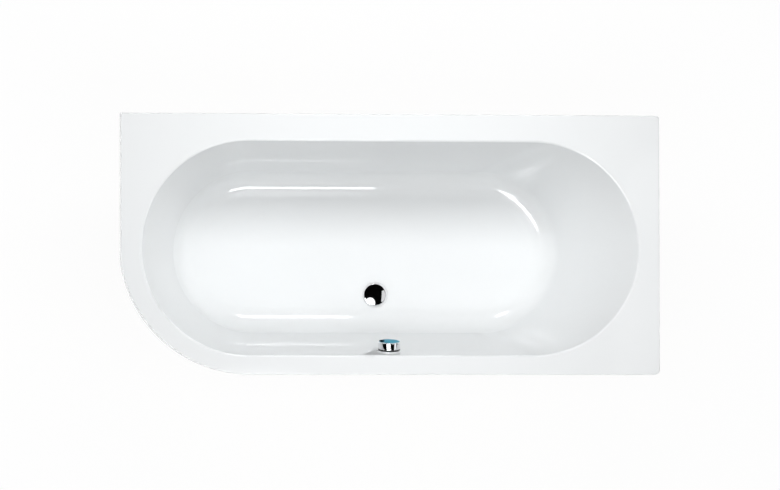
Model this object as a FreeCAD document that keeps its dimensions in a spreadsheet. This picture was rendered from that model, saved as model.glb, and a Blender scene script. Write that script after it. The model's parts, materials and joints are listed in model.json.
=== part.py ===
import FreeCAD, Part
import math
import os
import Sketcher

# Double ended bath, millimetres. +X is along the bath, +Y is the back edge, +Z is up, feet on Z = 0.
SIZES = {
    # Acrylic shell
    "bath_length": 1700,
    "bath_width": 815,
    "rim_height": 600,
    "lip_height": 40,
    "wall": 5,
    "end_deck": 66,
    "back_deck": 85,
    "front_deck": 60,
    "bowl_depth": 420,
    "side_draft": 12.5,
    "left_draft": 20,
    "right_draft": 28,
    "floor_fillet": 90,
    "rim_round": 8,
    "rim_edge_round": 3,
    "corner_radius": 412,
    "corner_inset": 408,
    "back_corner": 10,
    "front_corner": 16,
    # Reinforcement
    "backing": 3,
    "bond_gap": 0.3,
    "backing_drop": 48,
    "board_thickness": 18,
    "board_left": 590,
    "board_right": 520,
    "board_side_inset": 27,
    "board_hole": 62,
    "batten_width": 18,
    "batten_height": 42,
    "batten_inset": 10,
    "batten_end_gap": 70,
    "overflow_bay": 140,
    # Legs
    "left_rail_x": 430,
    "right_rail_x": 370,
    "rail_length": 660,
    "rail_width": 40,
    "rail_height": 28,
    "rail_gauge": 2.5,
    "foot_y": 300,
    "stud_radius": 6,
    "stud_spare": 45,
    "stud_clearance": 0.06,
    "nut_flats": 19,
    "nut_height": 10,
    "pad_radius": 28,
    "pad_edge": 6,
    "pad_neck": 15,
    "pad_height": 24,
    "pad_socket": 14,
    "screw_radius": 2,
    "screw_bite": 12,
    "screw_head": 4,
    "screw_head_height": 2.4,
    "screw_clearance": 0.1,
    "rail_screw_edge": 35,
    "centre_leg_x": 150,
    "leg_plate_side": 84,
    "leg_plate_gauge": 4,
    "leg_plate_screw": 32,
    "leg_boss_radius": 13,
    "leg_boss_length": 55,
    "leg_boss_spare": 30,
    # Wall brackets
    "bracket_x": 450,
    "bracket_width": 60,
    "bracket_gauge": 2.5,
    "bracket_drop": 80,
    "bracket_hole": 3,
    "bracket_pitch": 36,
    "bracket_hole_drop": 52,
    # Waste
    "waste_edge": 108,
    "recess_radius": 42,
    "recess_depth": 2,
    "waste_hole": 27,
    "seal_inner": 28,
    "top_seal": 1.5,
    "top_seal_outer": 36,
    "bottom_seal": 3,
    "bottom_seal_outer": 40,
    "flange_radius": 38.5,
    "flange_plate": 2.5,
    "neck_radius": 25.5,
    "neck_bore": 22,
    "neck_depth": 34,
    "spider_plate": 3,
    "spider_hole": 4.5,
    "spider_pitch": 14.5,
    "body_flange": 6,
    "body_flange_radius": 41,
    "cup_radius": 33,
    "cup_bore": 29,
    "cup_depth": 74,
    "cup_bottom": 4,
    "outlet_radius": 24,
    "outlet_bore": 18,
    "outlet_length": 22,
    "fixing_radius": 6.5,
    "fixing_head": 9,
    "fixing_head_height": 5,
    "fixing_length": 20,
    "fixing_clearance": 0.1,
    "bridge_width": 12,
    "bridge_height": 6,
    "bridge_hub": 10,
    # Plug and lever
    "plug_radius": 35,
    "plug_edge": 2,
    "plug_rise": 5.5,
    "plug_gap": 0.4,
    "plug_boss": 17.5,
    "plug_boss_depth": 5,
    "plug_seal_depth": 4,
    "plug_seal_outer": 21.6,
    "stem_radius": 4,
    "stem_clearance": 0.08,
    "plug_lift": 12,
    "lever_arm": 20,
    "lever_ball": 3.5,
    "lever_gap": 0.4,
    "lever_width": 6,
    "lever_depth": 5,
    "lever_hub": 5.4,
    "pivot_depth": 62,
    "shaft_radius": 3,
    "shaft_clearance": 0.05,
    "shaft_end_gap": 0.2,
    "shaft_boss": 6.5,
    "grip_clearance": 0.02,
    "crank_x": 34.8,
    "crank_gauge": 3.2,
    "crank_arm": 14,
    "crank_hub": 6,
    "crank_pin": 2,
    "wire_x": 40,
    "wire_radius": 0.9,
    "wire_bore": 1.2,
    "wire_tail": 28,
    "eye_gauge": 3,
    "eye_length": 10,
    "eye_height": 10,
    "eye_slack": 0.75,
    "sheath_radius": 3,
    "sheath_clearance": 0.05,
    "anchor_half": 6,
    "anchor_far": 24,
    "anchor_length": 18,
    "anchor_seat": 12,
    "cable_bend": 90,
    # Overflow
    "overflow_depth": 65,
    "overflow_hole": 26,
    "overflow_port": 44,
    "plate_radius": 36.5,
    "plate_gauge": 3,
    "thread_radius": 24.5,
    "thread_bore": 20,
    "thread_length": 24,
    "thread_clearance": 0.3,
    "plate_hole": 4.2,
    "plate_pitch": 13,
    "gasket": 4,
    "gasket_inner": 26.5,
    "gasket_outer": 38,
    "elbow_flange": 5,
    "elbow_flange_radius": 42,
    "chamber_radius": 31,
    "chamber_bore": 27.5,
    "chamber_depth": 40,
    "chamber_back": 3,
    "spigot_drop": 64,
    "cable_port": 6,
    "cable_port_drop": 40,
    "knob_radius": 35,
    "knob_depth": 28,
    "knob_wall": 3,
    "knob_gap": 1,
    "knob_round": 4,
    "hub_radius": 9,
    "hub_length": 20,
    "spindle_radius": 5,
    "spindle_clearance": 0.06,
    "spindle_grip": 14,
    "cam_radius": 15,
    "cam_width": 6,
    "grub_radius": 2,
    # Hose
    "spigot_radius": 18.6,
    "spigot_bore": 16,
    "side_port_depth": 50,
    "side_port_reach": 66,
    "hose_cuff": 15.6,
    "hose_bore": 13.2,
    "hose_rib": 17.4,
    "hose_root": 15,
    "hose_pitch": 4,
    "hose_bend": 70,
    "hose_entry": 18,
    "nut_ring": 24,
    "nut_clearance": 0.3,
    "nut_ring_length": 20,
    "nut_lip": 4,
    "nut_chamfer": 1.5,
    "cuff_spare": 3,
    # Trap
    "washer": 3,
    "collar": 3,
    "trap_radius": 21.5,
    "trap_bore": 19,
    "trap_bend": 34,
    "trap_rise": 15,
    "trap_lead": 8,
    "trap_run": 38,
    "trap_nut_radius": 29,
    "trap_nut_length": 24,
    "socket_radius": 25,
    "socket_length": 37,
    "socket_bore": 20.2,
    "socket_depth": 27,
    "outlet_seal": 4,
    "outlet_nut_radius": 30,
}

doc = FreeCAD.newDocument("double_ended_bath")
dims = doc.addObject("Spreadsheet::Sheet", "Dims")
for row, (alias, size) in enumerate(SIZES.items(), 1):
    dims.set(f"A{row}", alias)
    dims.set(f"B{row}", str(size))
    dims.setAlias(f"B{row}", alias)
doc.recompute()

V = FreeCAD.Vector
nodes = []


def value(formula):
    result = dims.evalExpression(str(formula))
    return float(getattr(result, "Value", result))


def new_body(label):
    body = doc.addObject("PartDesign::Body", label)
    body.Label = label
    nodes.append(body)
    return body


def put(body, x="0", y="0", z="0", tilt=None):
    if tilt:
        body.Placement = FreeCAD.Placement(V(), FreeCAD.Rotation(V(1, 0, 0), value(tilt)))
        body.setExpression("Placement.Rotation.Angle", tilt)
    for axis, formula in zip("xyz", (x, y, z)):
        body.setExpression(f"Placement.Base.{axis}", formula)
    doc.recompute()
    return body


def sketch_on(body, name, role="XY_Plane", offset="0"):
    sketch = body.newObject("Sketcher::SketchObject", name)
    plane = next(item for item in body.Origin.OriginFeatures if item.Role == role)
    sketch.AttachmentSupport = [(plane, "")]
    sketch.MapMode = "FlatFace"
    sketch.setExpression("AttachmentOffset.Base.z", offset)
    return sketch


def bind(sketch, kind, formula, *where):
    index = sketch.addConstraint(Sketcher.Constraint(kind, *where, value(formula)))
    sketch.setExpression(f"Constraints[{index}]", formula)


def relate(sketch, kind, *where):
    sketch.addConstraint(Sketcher.Constraint(kind, *where))


def pin_point(sketch, geometry, end, x, y):
    bind(sketch, "DistanceX", x, -1, 1, geometry, end)
    bind(sketch, "DistanceY", y, -1, 1, geometry, end)


def outline(sketch, corners):
    points = [V(value(x), value(y), 0) for x, y in corners]
    first = sketch.GeometryCount
    count = len(points)
    for i in range(count):
        sketch.addGeometry(Part.LineSegment(points[i], points[(i + 1) % count]), False)
    for i in range(count):
        relate(sketch, "Coincident", first + i, 2, first + (i + 1) % count, 1)
    for i, (x, y) in enumerate(corners):
        pin_point(sketch, first + i, 1, x, y)


def rectangle(sketch, x0, x1, y0, y1):
    outline(sketch, [(x0, y0), (x1, y0), (x1, y1), (x0, y1)])


def circle(sketch, radius, x="0", y="0"):
    index = sketch.addGeometry(Part.Circle(V(value(x), value(y), 0), V(0, 0, 1), value(radius)), False)
    pin_point(sketch, index, 3, x, y)
    bind(sketch, "Radius", radius, index)


def hexagon(sketch, flats, x="0", y="0"):
    corners = []
    for step in range(6):
        across = f"({flats}) / 2 / cos(30)"
        corners.append((f"{x} + {across} * cos({60 * step})", f"{y} + {across} * sin({60 * step})"))
    outline(sketch, corners)


def stadium(sketch, left, right, half_width, y="0"):
    wide = value(half_width)
    low = wide - value(left)
    high = value(right) - wide
    mid = value(y)
    first = sketch.GeometryCount
    sketch.addGeometry(Part.LineSegment(V(low, mid + wide, 0), V(high, mid + wide, 0)), False)
    right_end = Part.Circle(V(high, mid, 0), V(0, 0, 1), wide)
    sketch.addGeometry(Part.ArcOfCircle(right_end, -math.pi / 2, math.pi / 2), False)
    sketch.addGeometry(Part.LineSegment(V(high, mid - wide, 0), V(low, mid - wide, 0)), False)
    left_end = Part.Circle(V(low, mid, 0), V(0, 0, 1), wide)
    sketch.addGeometry(Part.ArcOfCircle(left_end, math.pi / 2, 3 * math.pi / 2), False)
    relate(sketch, "Tangent", first, 2, first + 1, 2)
    relate(sketch, "Tangent", first + 1, 1, first + 2, 1)
    relate(sketch, "Tangent", first + 2, 2, first + 3, 2)
    relate(sketch, "Tangent", first + 3, 1, first, 1)
    relate(sketch, "Horizontal", first)
    bind(sketch, "Radius", half_width, first + 1)
    pin_point(sketch, first + 1, 3, f"({right}) - ({half_width})", y)
    bind(sketch, "DistanceX", f"({half_width}) - ({left})", -1, 1, first + 3, 3)


def feature(body, kind, name, **settings):
    made = body.newObject(f"PartDesign::{kind}", name)
    for key, setting in settings.items():
        setattr(made, key, setting)
    return made


def pad(body, sketch, length):
    made = feature(body, "Pad", f"{sketch.Name}_pad", Profile=sketch)
    made.setExpression("Length", length)
    doc.recompute()
    return made


def cut(body, sketch, depth):
    before = body.Shape.Volume
    made = feature(body, "Pocket", f"{sketch.Name}_cut", Profile=sketch)
    made.setExpression("Length", depth)
    doc.recompute()
    if not body.Shape.Volume < before:
        raise RuntimeError(f"{made.Name} removes nothing")
    return made


def turn(body, name, corners, kind="Revolution"):
    sketch = sketch_on(body, f"{name}_profile", "XZ_Plane")
    outline(sketch, corners)
    doc.recompute()
    made = feature(body, kind, name, Profile=sketch, Angle=360)
    made.ReferenceAxis = (sketch, ["V_Axis"])
    doc.recompute()
    return made


def rod(body, kind, name, radius, length, at=("0", "0", "0"), axis=(0, 0, 1), tilt=None):
    made = body.newObject(f"PartDesign::{kind}Cylinder", name)
    made.setExpression("Radius", radius)
    made.setExpression("Height", length)
    made.Placement = FreeCAD.Placement(V(), FreeCAD.Rotation(V(0, 0, 1), V(*axis)))
    if tilt:
        made.Placement = FreeCAD.Placement(V(), FreeCAD.Rotation(V(1, 0, 0), value(tilt)))
        made.setExpression("Placement.Rotation.Angle", tilt)
    for direction, formula in zip("xyz", at):
        made.setExpression(f"Placement.Base.{direction}", formula)
    doc.recompute()
    return made


def block(body, kind, name, low, size):
    made = body.newObject(f"PartDesign::{kind}Box", name)
    for key, formula in zip(("Length", "Width", "Height"), size):
        made.setExpression(key, formula)
    for direction, formula in zip("xyz", low):
        made.setExpression(f"Placement.Base.{direction}", formula)
    doc.recompute()
    return made


def round_off(body, name, radius, wanted):
    base = body.Tip
    edges = [f"Edge{i}" for i, edge in enumerate(base.Shape.Edges, 1) if wanted(edge)]
    if not edges:
        raise RuntimeError(f"{name} finds no edge")
    made = feature(body, "Fillet", name, Base=(base, edges))
    made.setExpression("Radius", radius)
    doc.recompute()
    return made


def level(edge, formula):
    height = value(formula)
    return all(abs(point.z - height) < 0.01 for point in edge.discretize(9))


def slab(label, x0, x1, y0, y1, z0, height):
    body = new_body(label)
    sketch = sketch_on(body, f"{label}_plan", "XY_Plane", z0)
    rectangle(sketch, x0, x1, y0, y1)
    pad(body, sketch, height)
    return body


def screws(label, places, head_low, head_height, shank_length, head, shank):
    body = new_body(label)
    heads = sketch_on(body, f"{label}_heads", "XY_Plane", head_low)
    for x, y in places:
        circle(heads, head, x, y)
    pad(body, heads, head_height)
    shanks = sketch_on(body, f"{label}_shanks", "XY_Plane", head_low)
    for x, y in places:
        circle(shanks, shank, x, y)
    pad(body, shanks, f"({head_height}) + ({shank_length})")
    return body


def bore_holes(body, name, places, radius, top, depth):
    sketch = sketch_on(body, name, "XY_Plane", top)
    for x, y in places:
        circle(sketch, radius, x, y)
    return cut(body, sketch, depth)


# Levels and positions shared by several pieces
HALF_LENGTH = "(Dims.bath_length / 2)"
HALF_WIDTH = "(Dims.bath_width / 2)"
BOWL_Y = "((Dims.front_deck - Dims.back_deck) / 2)"
FLOOR = "(Dims.rim_height - Dims.bowl_depth)"
SHELL_UNDER = f"({FLOOR} - Dims.wall)"
BACKING_UNDER = f"({SHELL_UNDER} - Dims.backing)"
BOARD_UNDER = f"({BACKING_UNDER} - Dims.board_thickness)"
DECK_UNDER = "(Dims.rim_height - Dims.wall)"
BATTEN_UNDER = f"({DECK_UNDER} - Dims.batten_height)"
WASTE_Z = f"({FLOOR} - Dims.recess_depth)"


def bowl_half_width(depth, out="0"):
    wide = "(Dims.bath_width - Dims.back_deck - Dims.front_deck) / 2"
    return f"({wide} - ({depth}) * tan(Dims.side_draft) + ({out}) / cos(Dims.side_draft))"


def bowl_reach(side, depth, out="0"):
    long = "Dims.bath_length / 2 - Dims.end_deck"
    return f"({long} - ({depth}) * tan(Dims.{side}_draft) + ({out}) / cos(Dims.{side}_draft))"


# The waste stands off the foot of the front wall, and the overflow is on that wall
WASTE_Y = f"({BOWL_Y} - {bowl_half_width('Dims.bowl_depth')} + Dims.waste_edge)"
OVERFLOW_Y = f"({BOWL_Y} - {bowl_half_width('Dims.overflow_depth')})"
OVERFLOW_Z = "(Dims.rim_height - Dims.overflow_depth)"
OVERFLOW_TILT = "Dims.side_draft - 90"


def bowl_loft(body, kind, name, top, bottom, out):
    sections = []
    for end, depth in (("top", top), ("bottom", bottom)):
        sketch = sketch_on(body, f"{name}_{end}", "XY_Plane", f"Dims.rim_height - ({depth})")
        left, right = bowl_reach("left", depth, out), bowl_reach("right", depth, out)
        stadium(sketch, left, right, bowl_half_width(depth, out), BOWL_Y)
        sections.append(sketch)
    doc.recompute()
    made = feature(body, kind, name, Profile=sections[0], Sections=[sections[1]], Ruled=True)
    doc.recompute()
    return made


def bowl_space(name, top, bottom, out, radius):
    space = doc.addObject("PartDesign::Body", name)
    bowl_loft(space, "AdditiveLoft", f"{name}_loft", top, bottom, out)
    round_off(space, f"{name}_round", radius, lambda edge: level(edge, f"Dims.rim_height - ({bottom})"))
    return space


def take_away(body, space):
    made = feature(body, "Boolean", f"{space.Name}_cut", Type="Cut")
    made.addObjects([space])
    body.Tip = made
    doc.recompute()


def rim_outline(sketch, inset):
    half_x = f"({HALF_LENGTH} - ({inset}))"
    half_y = f"({HALF_WIDTH} - ({inset}))"
    back = f"(Dims.back_corner - ({inset}))"
    front = f"(Dims.front_corner - ({inset}))"
    big = f"(Dims.corner_radius - ({inset}))"
    big_x = f"(Dims.corner_inset - {HALF_LENGTH})"
    x, y, rb, rf, rg = value(half_x), value(half_y), value(back), value(front), value(big)
    cx = value(big_x)
    cy = rg - y
    meet = math.pi + math.acos((x + cx) / rg)
    side = V(-x, cy + rg * math.sin(meet), 0)
    up = V(0, 0, 1)
    sketch.addGeometry(Part.LineSegment(V(-x, y, 0), V(x - rb, y, 0)), False)
    back_round = Part.Circle(V(x - rb, y - rb, 0), up, rb)
    sketch.addGeometry(Part.ArcOfCircle(back_round, 0, math.pi / 2), False)
    sketch.addGeometry(Part.LineSegment(V(x, y - rb, 0), V(x, rf - y, 0)), False)
    front_round = Part.Circle(V(x - rf, rf - y, 0), up, rf)
    sketch.addGeometry(Part.ArcOfCircle(front_round, 1.5 * math.pi, 2 * math.pi), False)
    sketch.addGeometry(Part.LineSegment(V(x - rf, -y, 0), V(cx, -y, 0)), False)
    sketch.addGeometry(Part.ArcOfCircle(Part.Circle(V(cx, cy, 0), up, rg), meet, 1.5 * math.pi), False)
    sketch.addGeometry(Part.LineSegment(side, V(-x, y, 0)), False)
    relate(sketch, "Tangent", 0, 2, 1, 2)
    relate(sketch, "Tangent", 1, 1, 2, 1)
    relate(sketch, "Tangent", 2, 2, 3, 2)
    relate(sketch, "Tangent", 3, 1, 4, 1)
    relate(sketch, "Tangent", 4, 2, 5, 2)
    relate(sketch, "Coincident", 5, 1, 6, 1)
    relate(sketch, "Coincident", 6, 2, 0, 1)
    relate(sketch, "Horizontal", 0)
    relate(sketch, "Vertical", 2)
    relate(sketch, "Horizontal", 4)
    relate(sketch, "Vertical", 6)
    pin_point(sketch, 0, 1, f"-{half_x}", half_y)
    bind(sketch, "DistanceX", half_x, -1, 1, 2, 1)
    bind(sketch, "DistanceY", f"-{half_y}", -1, 1, 4, 1)
    bind(sketch, "Radius", back, 1)
    bind(sketch, "Radius", front, 3)
    bind(sketch, "Radius", big, 5)
    bind(sketch, "DistanceX", big_x, -1, 1, 5, 3)


# Acrylic shell: deck with turned-down lip, bowl, recess for the waste, two holes
shell = new_body("bath_shell")
rim = sketch_on(shell, "rim_plan", "XY_Plane", "Dims.rim_height - Dims.lip_height")
rim_outline(rim, "0")
pad(shell, rim, "Dims.lip_height")
round_off(shell, "rim_edge", "Dims.rim_edge_round", lambda edge: level(edge, "Dims.rim_height"))
under = sketch_on(shell, "rim_hollow", "XY_Plane", DECK_UNDER)
rim_outline(under, "Dims.wall")
cut(shell, under, "Dims.lip_height")
bowl_loft(shell, "AdditiveLoft", "bowl_outside", "Dims.wall / 2", "Dims.bowl_depth + Dims.wall", "Dims.wall")
round_off(shell, "bowl_outside_round", "Dims.floor_fillet + Dims.wall", lambda edge: level(edge, SHELL_UNDER))
boss = sketch_on(shell, "waste_boss", "XY_Plane", f"{WASTE_Z} - Dims.wall")
circle(boss, "Dims.recess_radius + Dims.wall", "0", WASTE_Y)
pad(shell, boss, "Dims.recess_depth + Dims.wall / 2")
take_away(shell, bowl_space("bowl_space", "-Dims.wall", "Dims.bowl_depth", "0", "Dims.floor_fillet"))


def opening_edge(edge):
    reach_x = value(bowl_reach("left", "0")) + 1
    reach_y = value(bowl_half_width("0")) + 1
    middle = value(BOWL_Y)
    inside = all(abs(point.x) < reach_x and abs(point.y - middle) < reach_y for point in edge.discretize(9))
    return inside and level(edge, "Dims.rim_height")


round_off(shell, "opening_round", "Dims.rim_round", opening_edge)
bore_holes(shell, "waste_recess", [("0", WASTE_Y)], "Dims.recess_radius",
           f"{FLOOR} + Dims.wall * 2", "Dims.recess_depth + Dims.wall * 2")
bore_holes(shell, "waste_opening", [("0", WASTE_Y)], "Dims.waste_hole",
           FLOOR, "Dims.recess_depth + Dims.wall * 2")


def overflow_opening(body, name, radius):
    back = "(Dims.wall + Dims.backing) * 3"
    rod(body, "Subtractive", name, radius, f"{back} * 2",
        ("0", f"{OVERFLOW_Y} - {back} * cos(Dims.side_draft)", f"{OVERFLOW_Z} - {back} * sin(Dims.side_draft)"),
        tilt=OVERFLOW_TILT)


overflow_opening(shell, "overflow_opening", "Dims.overflow_hole")

# Glass fibre skin bonded to the underside of the bowl
skin = new_body("glassfibre_backing")
bowl_loft(skin, "AdditiveLoft", "skin_outside", "Dims.backing_drop",
          "Dims.bowl_depth + Dims.wall + Dims.backing", "Dims.wall + Dims.bond_gap + Dims.backing")
round_off(skin, "skin_outside_round", "Dims.floor_fillet + Dims.wall + Dims.backing",
          lambda edge: level(edge, BACKING_UNDER))
take_away(skin, bowl_space("skin_space", "Dims.backing_drop - Dims.wall", "Dims.bowl_depth + Dims.wall",
                           "Dims.wall + Dims.bond_gap", "Dims.floor_fillet + Dims.wall"))
bore_holes(skin, "skin_waste_opening", [("0", WASTE_Y)], "Dims.recess_radius + Dims.wall + Dims.bond_gap * 3",
           f"{FLOOR} + Dims.wall * 2", "Dims.wall * 4 + Dims.backing")
overflow_opening(skin, "skin_overflow_opening", "Dims.overflow_port")

# Base board
BOARD_HALF_WIDTH = f"({bowl_half_width('Dims.bowl_depth')} - Dims.board_side_inset)"
RAIL_SCREW_REACH = f"({BOARD_HALF_WIDTH} - Dims.rail_screw_edge)"
LEFT_RAIL, RIGHT_RAIL = "-Dims.left_rail_x", "Dims.right_rail_x"
RAIL_PLACES = [(side, row) for side in (LEFT_RAIL, RIGHT_RAIL)
               for row in [f"{i} / 3 * {RAIL_SCREW_REACH}" for i in (-3, -1, 1, 3)]]
LEG_PLATE_PLACES = [(f"Dims.centre_leg_x + {i} * Dims.leg_plate_screw", f"{j} * Dims.leg_plate_screw")
                    for i in (-1, 1) for j in (-1, 1)]
PILOT = "Dims.screw_radius + Dims.screw_clearance"
board = new_body("base_board")
plan = sketch_on(board, "board_plan", "XY_Plane", BOARD_UNDER)
stadium(plan, "Dims.board_left", "Dims.board_right", BOARD_HALF_WIDTH, BOWL_Y)
pad(board, plan, "Dims.board_thickness")
bore_holes(board, "board_opening", [("0", WASTE_Y)], "Dims.board_hole",
           BACKING_UNDER, "Dims.board_thickness * 2")
bore_holes(board, "board_pilots", RAIL_PLACES + LEG_PLATE_PLACES, PILOT,
           f"{BOARD_UNDER} + Dims.screw_bite + Dims.screw_clearance", "Dims.screw_bite * 2")

# Battens glued under the deck
NEAR = "(Dims.wall + Dims.batten_inset)"
FAR = f"({NEAR} + Dims.batten_width)"
END = "Dims.batten_end_gap"
back_batten = slab("back_rim_batten", f"{END} - {HALF_LENGTH}", f"{HALF_LENGTH} - {END}",
                   f"{HALF_WIDTH} - {FAR}", f"{HALF_WIDTH} - {NEAR}", BATTEN_UNDER, "Dims.batten_height")
slab("front_left_rim_batten", f"Dims.corner_inset - {HALF_LENGTH}", "-Dims.overflow_bay / 2",
     f"{NEAR} - {HALF_WIDTH}", f"{FAR} - {HALF_WIDTH}", BATTEN_UNDER, "Dims.batten_height")
slab("front_right_rim_batten", "Dims.overflow_bay / 2", f"{HALF_LENGTH} - {END}",
     f"{NEAR} - {HALF_WIDTH}", f"{FAR} - {HALF_WIDTH}", BATTEN_UNDER, "Dims.batten_height")
slab("left_rim_batten", f"{NEAR} - {HALF_LENGTH}", f"{FAR} - {HALF_LENGTH}", "0",
     f"{HALF_WIDTH} - {END}", BATTEN_UNDER, "Dims.batten_height")
slab("right_rim_batten", f"{HALF_LENGTH} - {FAR}", f"{HALF_LENGTH} - {NEAR}", f"{END} - {HALF_WIDTH}",
     f"{HALF_WIDTH} - {END}", BATTEN_UNDER, "Dims.batten_height")

# Wall brackets under the back batten
BRACKET_SCREW_Y = f"({HALF_WIDTH} - {NEAR} - Dims.batten_width / 2)"
bracket_places = []
for side, centre in (("left", "-Dims.bracket_x"), ("right", "Dims.bracket_x")):
    bracket = new_body(f"{side}_wall_bracket")
    angle = sketch_on(bracket, f"{side}_angle", "YZ_Plane", f"{centre} - Dims.bracket_width / 2")
    thin = "Dims.bracket_gauge"
    outline(angle, [
        (f"{HALF_WIDTH} - {FAR}", BATTEN_UNDER),
        (f"{HALF_WIDTH} - {FAR}", f"{BATTEN_UNDER} - {thin}"),
        (f"{HALF_WIDTH} - {thin}", f"{BATTEN_UNDER} - {thin}"),
        (f"{HALF_WIDTH} - {thin}", f"{BATTEN_UNDER} - Dims.bracket_drop"),
        (HALF_WIDTH, f"{BATTEN_UNDER} - Dims.bracket_drop"),
        (HALF_WIDTH, BATTEN_UNDER),
    ])
    pad(bracket, angle, "Dims.bracket_width")
    places = [(f"{centre} + {i} * Dims.bracket_pitch / 2", BRACKET_SCREW_Y) for i in (-1, 1)]
    bore_holes(bracket, f"{side}_screw_holes", places, PILOT, BATTEN_UNDER, "Dims.bracket_gauge * 2")
    wall_holes = sketch_on(bracket, f"{side}_wall_holes", "XZ_Plane", f"{thin} * 2 - {HALF_WIDTH}")
    for i in (-1, 1):
        circle(wall_holes, "Dims.bracket_hole", f"{centre} + {i} * Dims.bracket_pitch / 2",
               f"{BATTEN_UNDER} - Dims.bracket_hole_drop")
    cut(bracket, wall_holes, f"{thin} * 3")
    bracket_places += places
bore_holes(back_batten, "bracket_pilots", bracket_places, PILOT,
           f"{BATTEN_UNDER} + Dims.screw_bite + Dims.screw_clearance", "Dims.screw_bite * 2")
screws("wall_bracket_screws", bracket_places, f"{BATTEN_UNDER} - Dims.bracket_gauge - Dims.screw_head_height",
       "Dims.screw_head_height", "Dims.bracket_gauge + Dims.screw_bite", "Dims.screw_head", "Dims.screw_radius")

# Leg rails: channels open downwards, held to the board by screws through the web
WEB_UNDER = f"({BOARD_UNDER} - Dims.rail_gauge)"
STUD_HOLE = "Dims.stud_radius + Dims.stud_clearance"
FEET = [("front_left", LEFT_RAIL, "-Dims.foot_y"), ("front_right", RIGHT_RAIL, "-Dims.foot_y"),
        ("back_left", LEFT_RAIL, "Dims.foot_y"), ("back_right", RIGHT_RAIL, "Dims.foot_y")]
for side, centre in (("left", LEFT_RAIL), ("right", RIGHT_RAIL)):
    rail = new_body(f"{side}_leg_rail")
    channel = sketch_on(rail, f"{side}_channel", "XZ_Plane", "-Dims.rail_length / 2")
    thin = "Dims.rail_gauge"
    low = f"{BOARD_UNDER} - Dims.rail_height"
    half = "Dims.rail_width / 2"
    outline(channel, [
        (f"{centre} - {half}", low),
        (f"{centre} - {half} + {thin}", low),
        (f"{centre} - {half} + {thin}", WEB_UNDER),
        (f"{centre} + {half} - {thin}", WEB_UNDER),
        (f"{centre} + {half} - {thin}", low),
        (f"{centre} + {half}", low),
        (f"{centre} + {half}", BOARD_UNDER),
        (f"{centre} - {half}", BOARD_UNDER),
    ])
    pad(rail, channel, "Dims.rail_length")
    places = [spot for spot in RAIL_PLACES if spot[0] == centre]
    bore_holes(rail, f"{side}_rail_screw_holes", places, PILOT, BOARD_UNDER, "Dims.rail_gauge * 2")
    places = [(x, y) for label, x, y in FEET if x == centre]
    bore_holes(rail, f"{side}_stud_holes", places, STUD_HOLE, BOARD_UNDER, "Dims.rail_gauge * 2")
screws("leg_rail_screws", RAIL_PLACES, f"{WEB_UNDER} - Dims.screw_head_height", "Dims.screw_head_height",
       "Dims.rail_gauge + Dims.screw_bite", "Dims.screw_head", "Dims.screw_radius")


def nuts(label, places, low):
    body = new_body(label)
    plan = sketch_on(body, f"{label}_plan", "XY_Plane", low)
    for x, y in places:
        hexagon(plan, "Dims.nut_flats", x, y)
        circle(plan, STUD_HOLE, x, y)
    pad(body, plan, "Dims.nut_height")


nuts("leg_upper_nuts", [(x, y) for label, x, y in FEET], BOARD_UNDER)
nuts("leg_lower_nuts", [(x, y) for label, x, y in FEET], f"{WEB_UNDER} - Dims.nut_height")


def foot(name, x, y, stud_top):
    socket = "(Dims.pad_height - Dims.pad_socket)"
    stud = new_body(f"{name}_leg_stud")
    end = sketch_on(stud, f"{name}_stud_end", "XY_Plane", socket)
    circle(end, "Dims.stud_radius", x, y)
    pad(stud, end, f"{stud_top} - {socket}")
    foot_pad = new_body(f"{name}_foot_pad")
    turn(foot_pad, f"{name}_pad", [
        ("0", "0"),
        ("Dims.pad_radius", "0"),
        ("Dims.pad_radius", "Dims.pad_edge"),
        ("Dims.pad_neck", "Dims.pad_height"),
        (STUD_HOLE, "Dims.pad_height"),
        (STUD_HOLE, socket),
        ("0", socket),
    ])
    put(foot_pad, x, y)


for label, x, y in FEET:
    foot(label, x, y, f"{BOARD_UNDER} + Dims.stud_spare")

# Centre leg: plate with a long threaded boss under the board
PLATE_UNDER = f"({BOARD_UNDER} - Dims.leg_plate_gauge)"
BOSS_UNDER = f"({PLATE_UNDER} - Dims.leg_boss_length)"
plate = new_body("centre_leg_plate")
square = sketch_on(plate, "leg_plate_plan", "XY_Plane", PLATE_UNDER)
half = "Dims.leg_plate_side / 2"
rectangle(square, f"Dims.centre_leg_x - {half}", f"Dims.centre_leg_x + {half}", f"-{half}", half)
pad(plate, square, "Dims.leg_plate_gauge")
boss = sketch_on(plate, "leg_boss_plan", "XY_Plane", BOSS_UNDER)
circle(boss, "Dims.leg_boss_radius", "Dims.centre_leg_x")
pad(plate, boss, "Dims.leg_boss_length + Dims.leg_plate_gauge / 2")
bore_holes(plate, "leg_boss_bore", [("Dims.centre_leg_x", "0")], STUD_HOLE, BOARD_UNDER,
           "Dims.leg_boss_length + Dims.leg_plate_gauge * 2")
bore_holes(plate, "leg_plate_holes", LEG_PLATE_PLACES, PILOT, BOARD_UNDER, "Dims.leg_plate_gauge * 2")
screws("centre_leg_screws", LEG_PLATE_PLACES, f"{PLATE_UNDER} - Dims.screw_head_height",
       "Dims.screw_head_height", "Dims.leg_plate_gauge + Dims.screw_bite", "Dims.screw_head",
       "Dims.screw_radius")
nuts("centre_leg_nut", [("Dims.centre_leg_x", "0")], f"{BOSS_UNDER} - Dims.nut_height")
foot("centre", "Dims.centre_leg_x", "0", f"{BOARD_UNDER} - Dims.leg_boss_spare")

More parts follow.
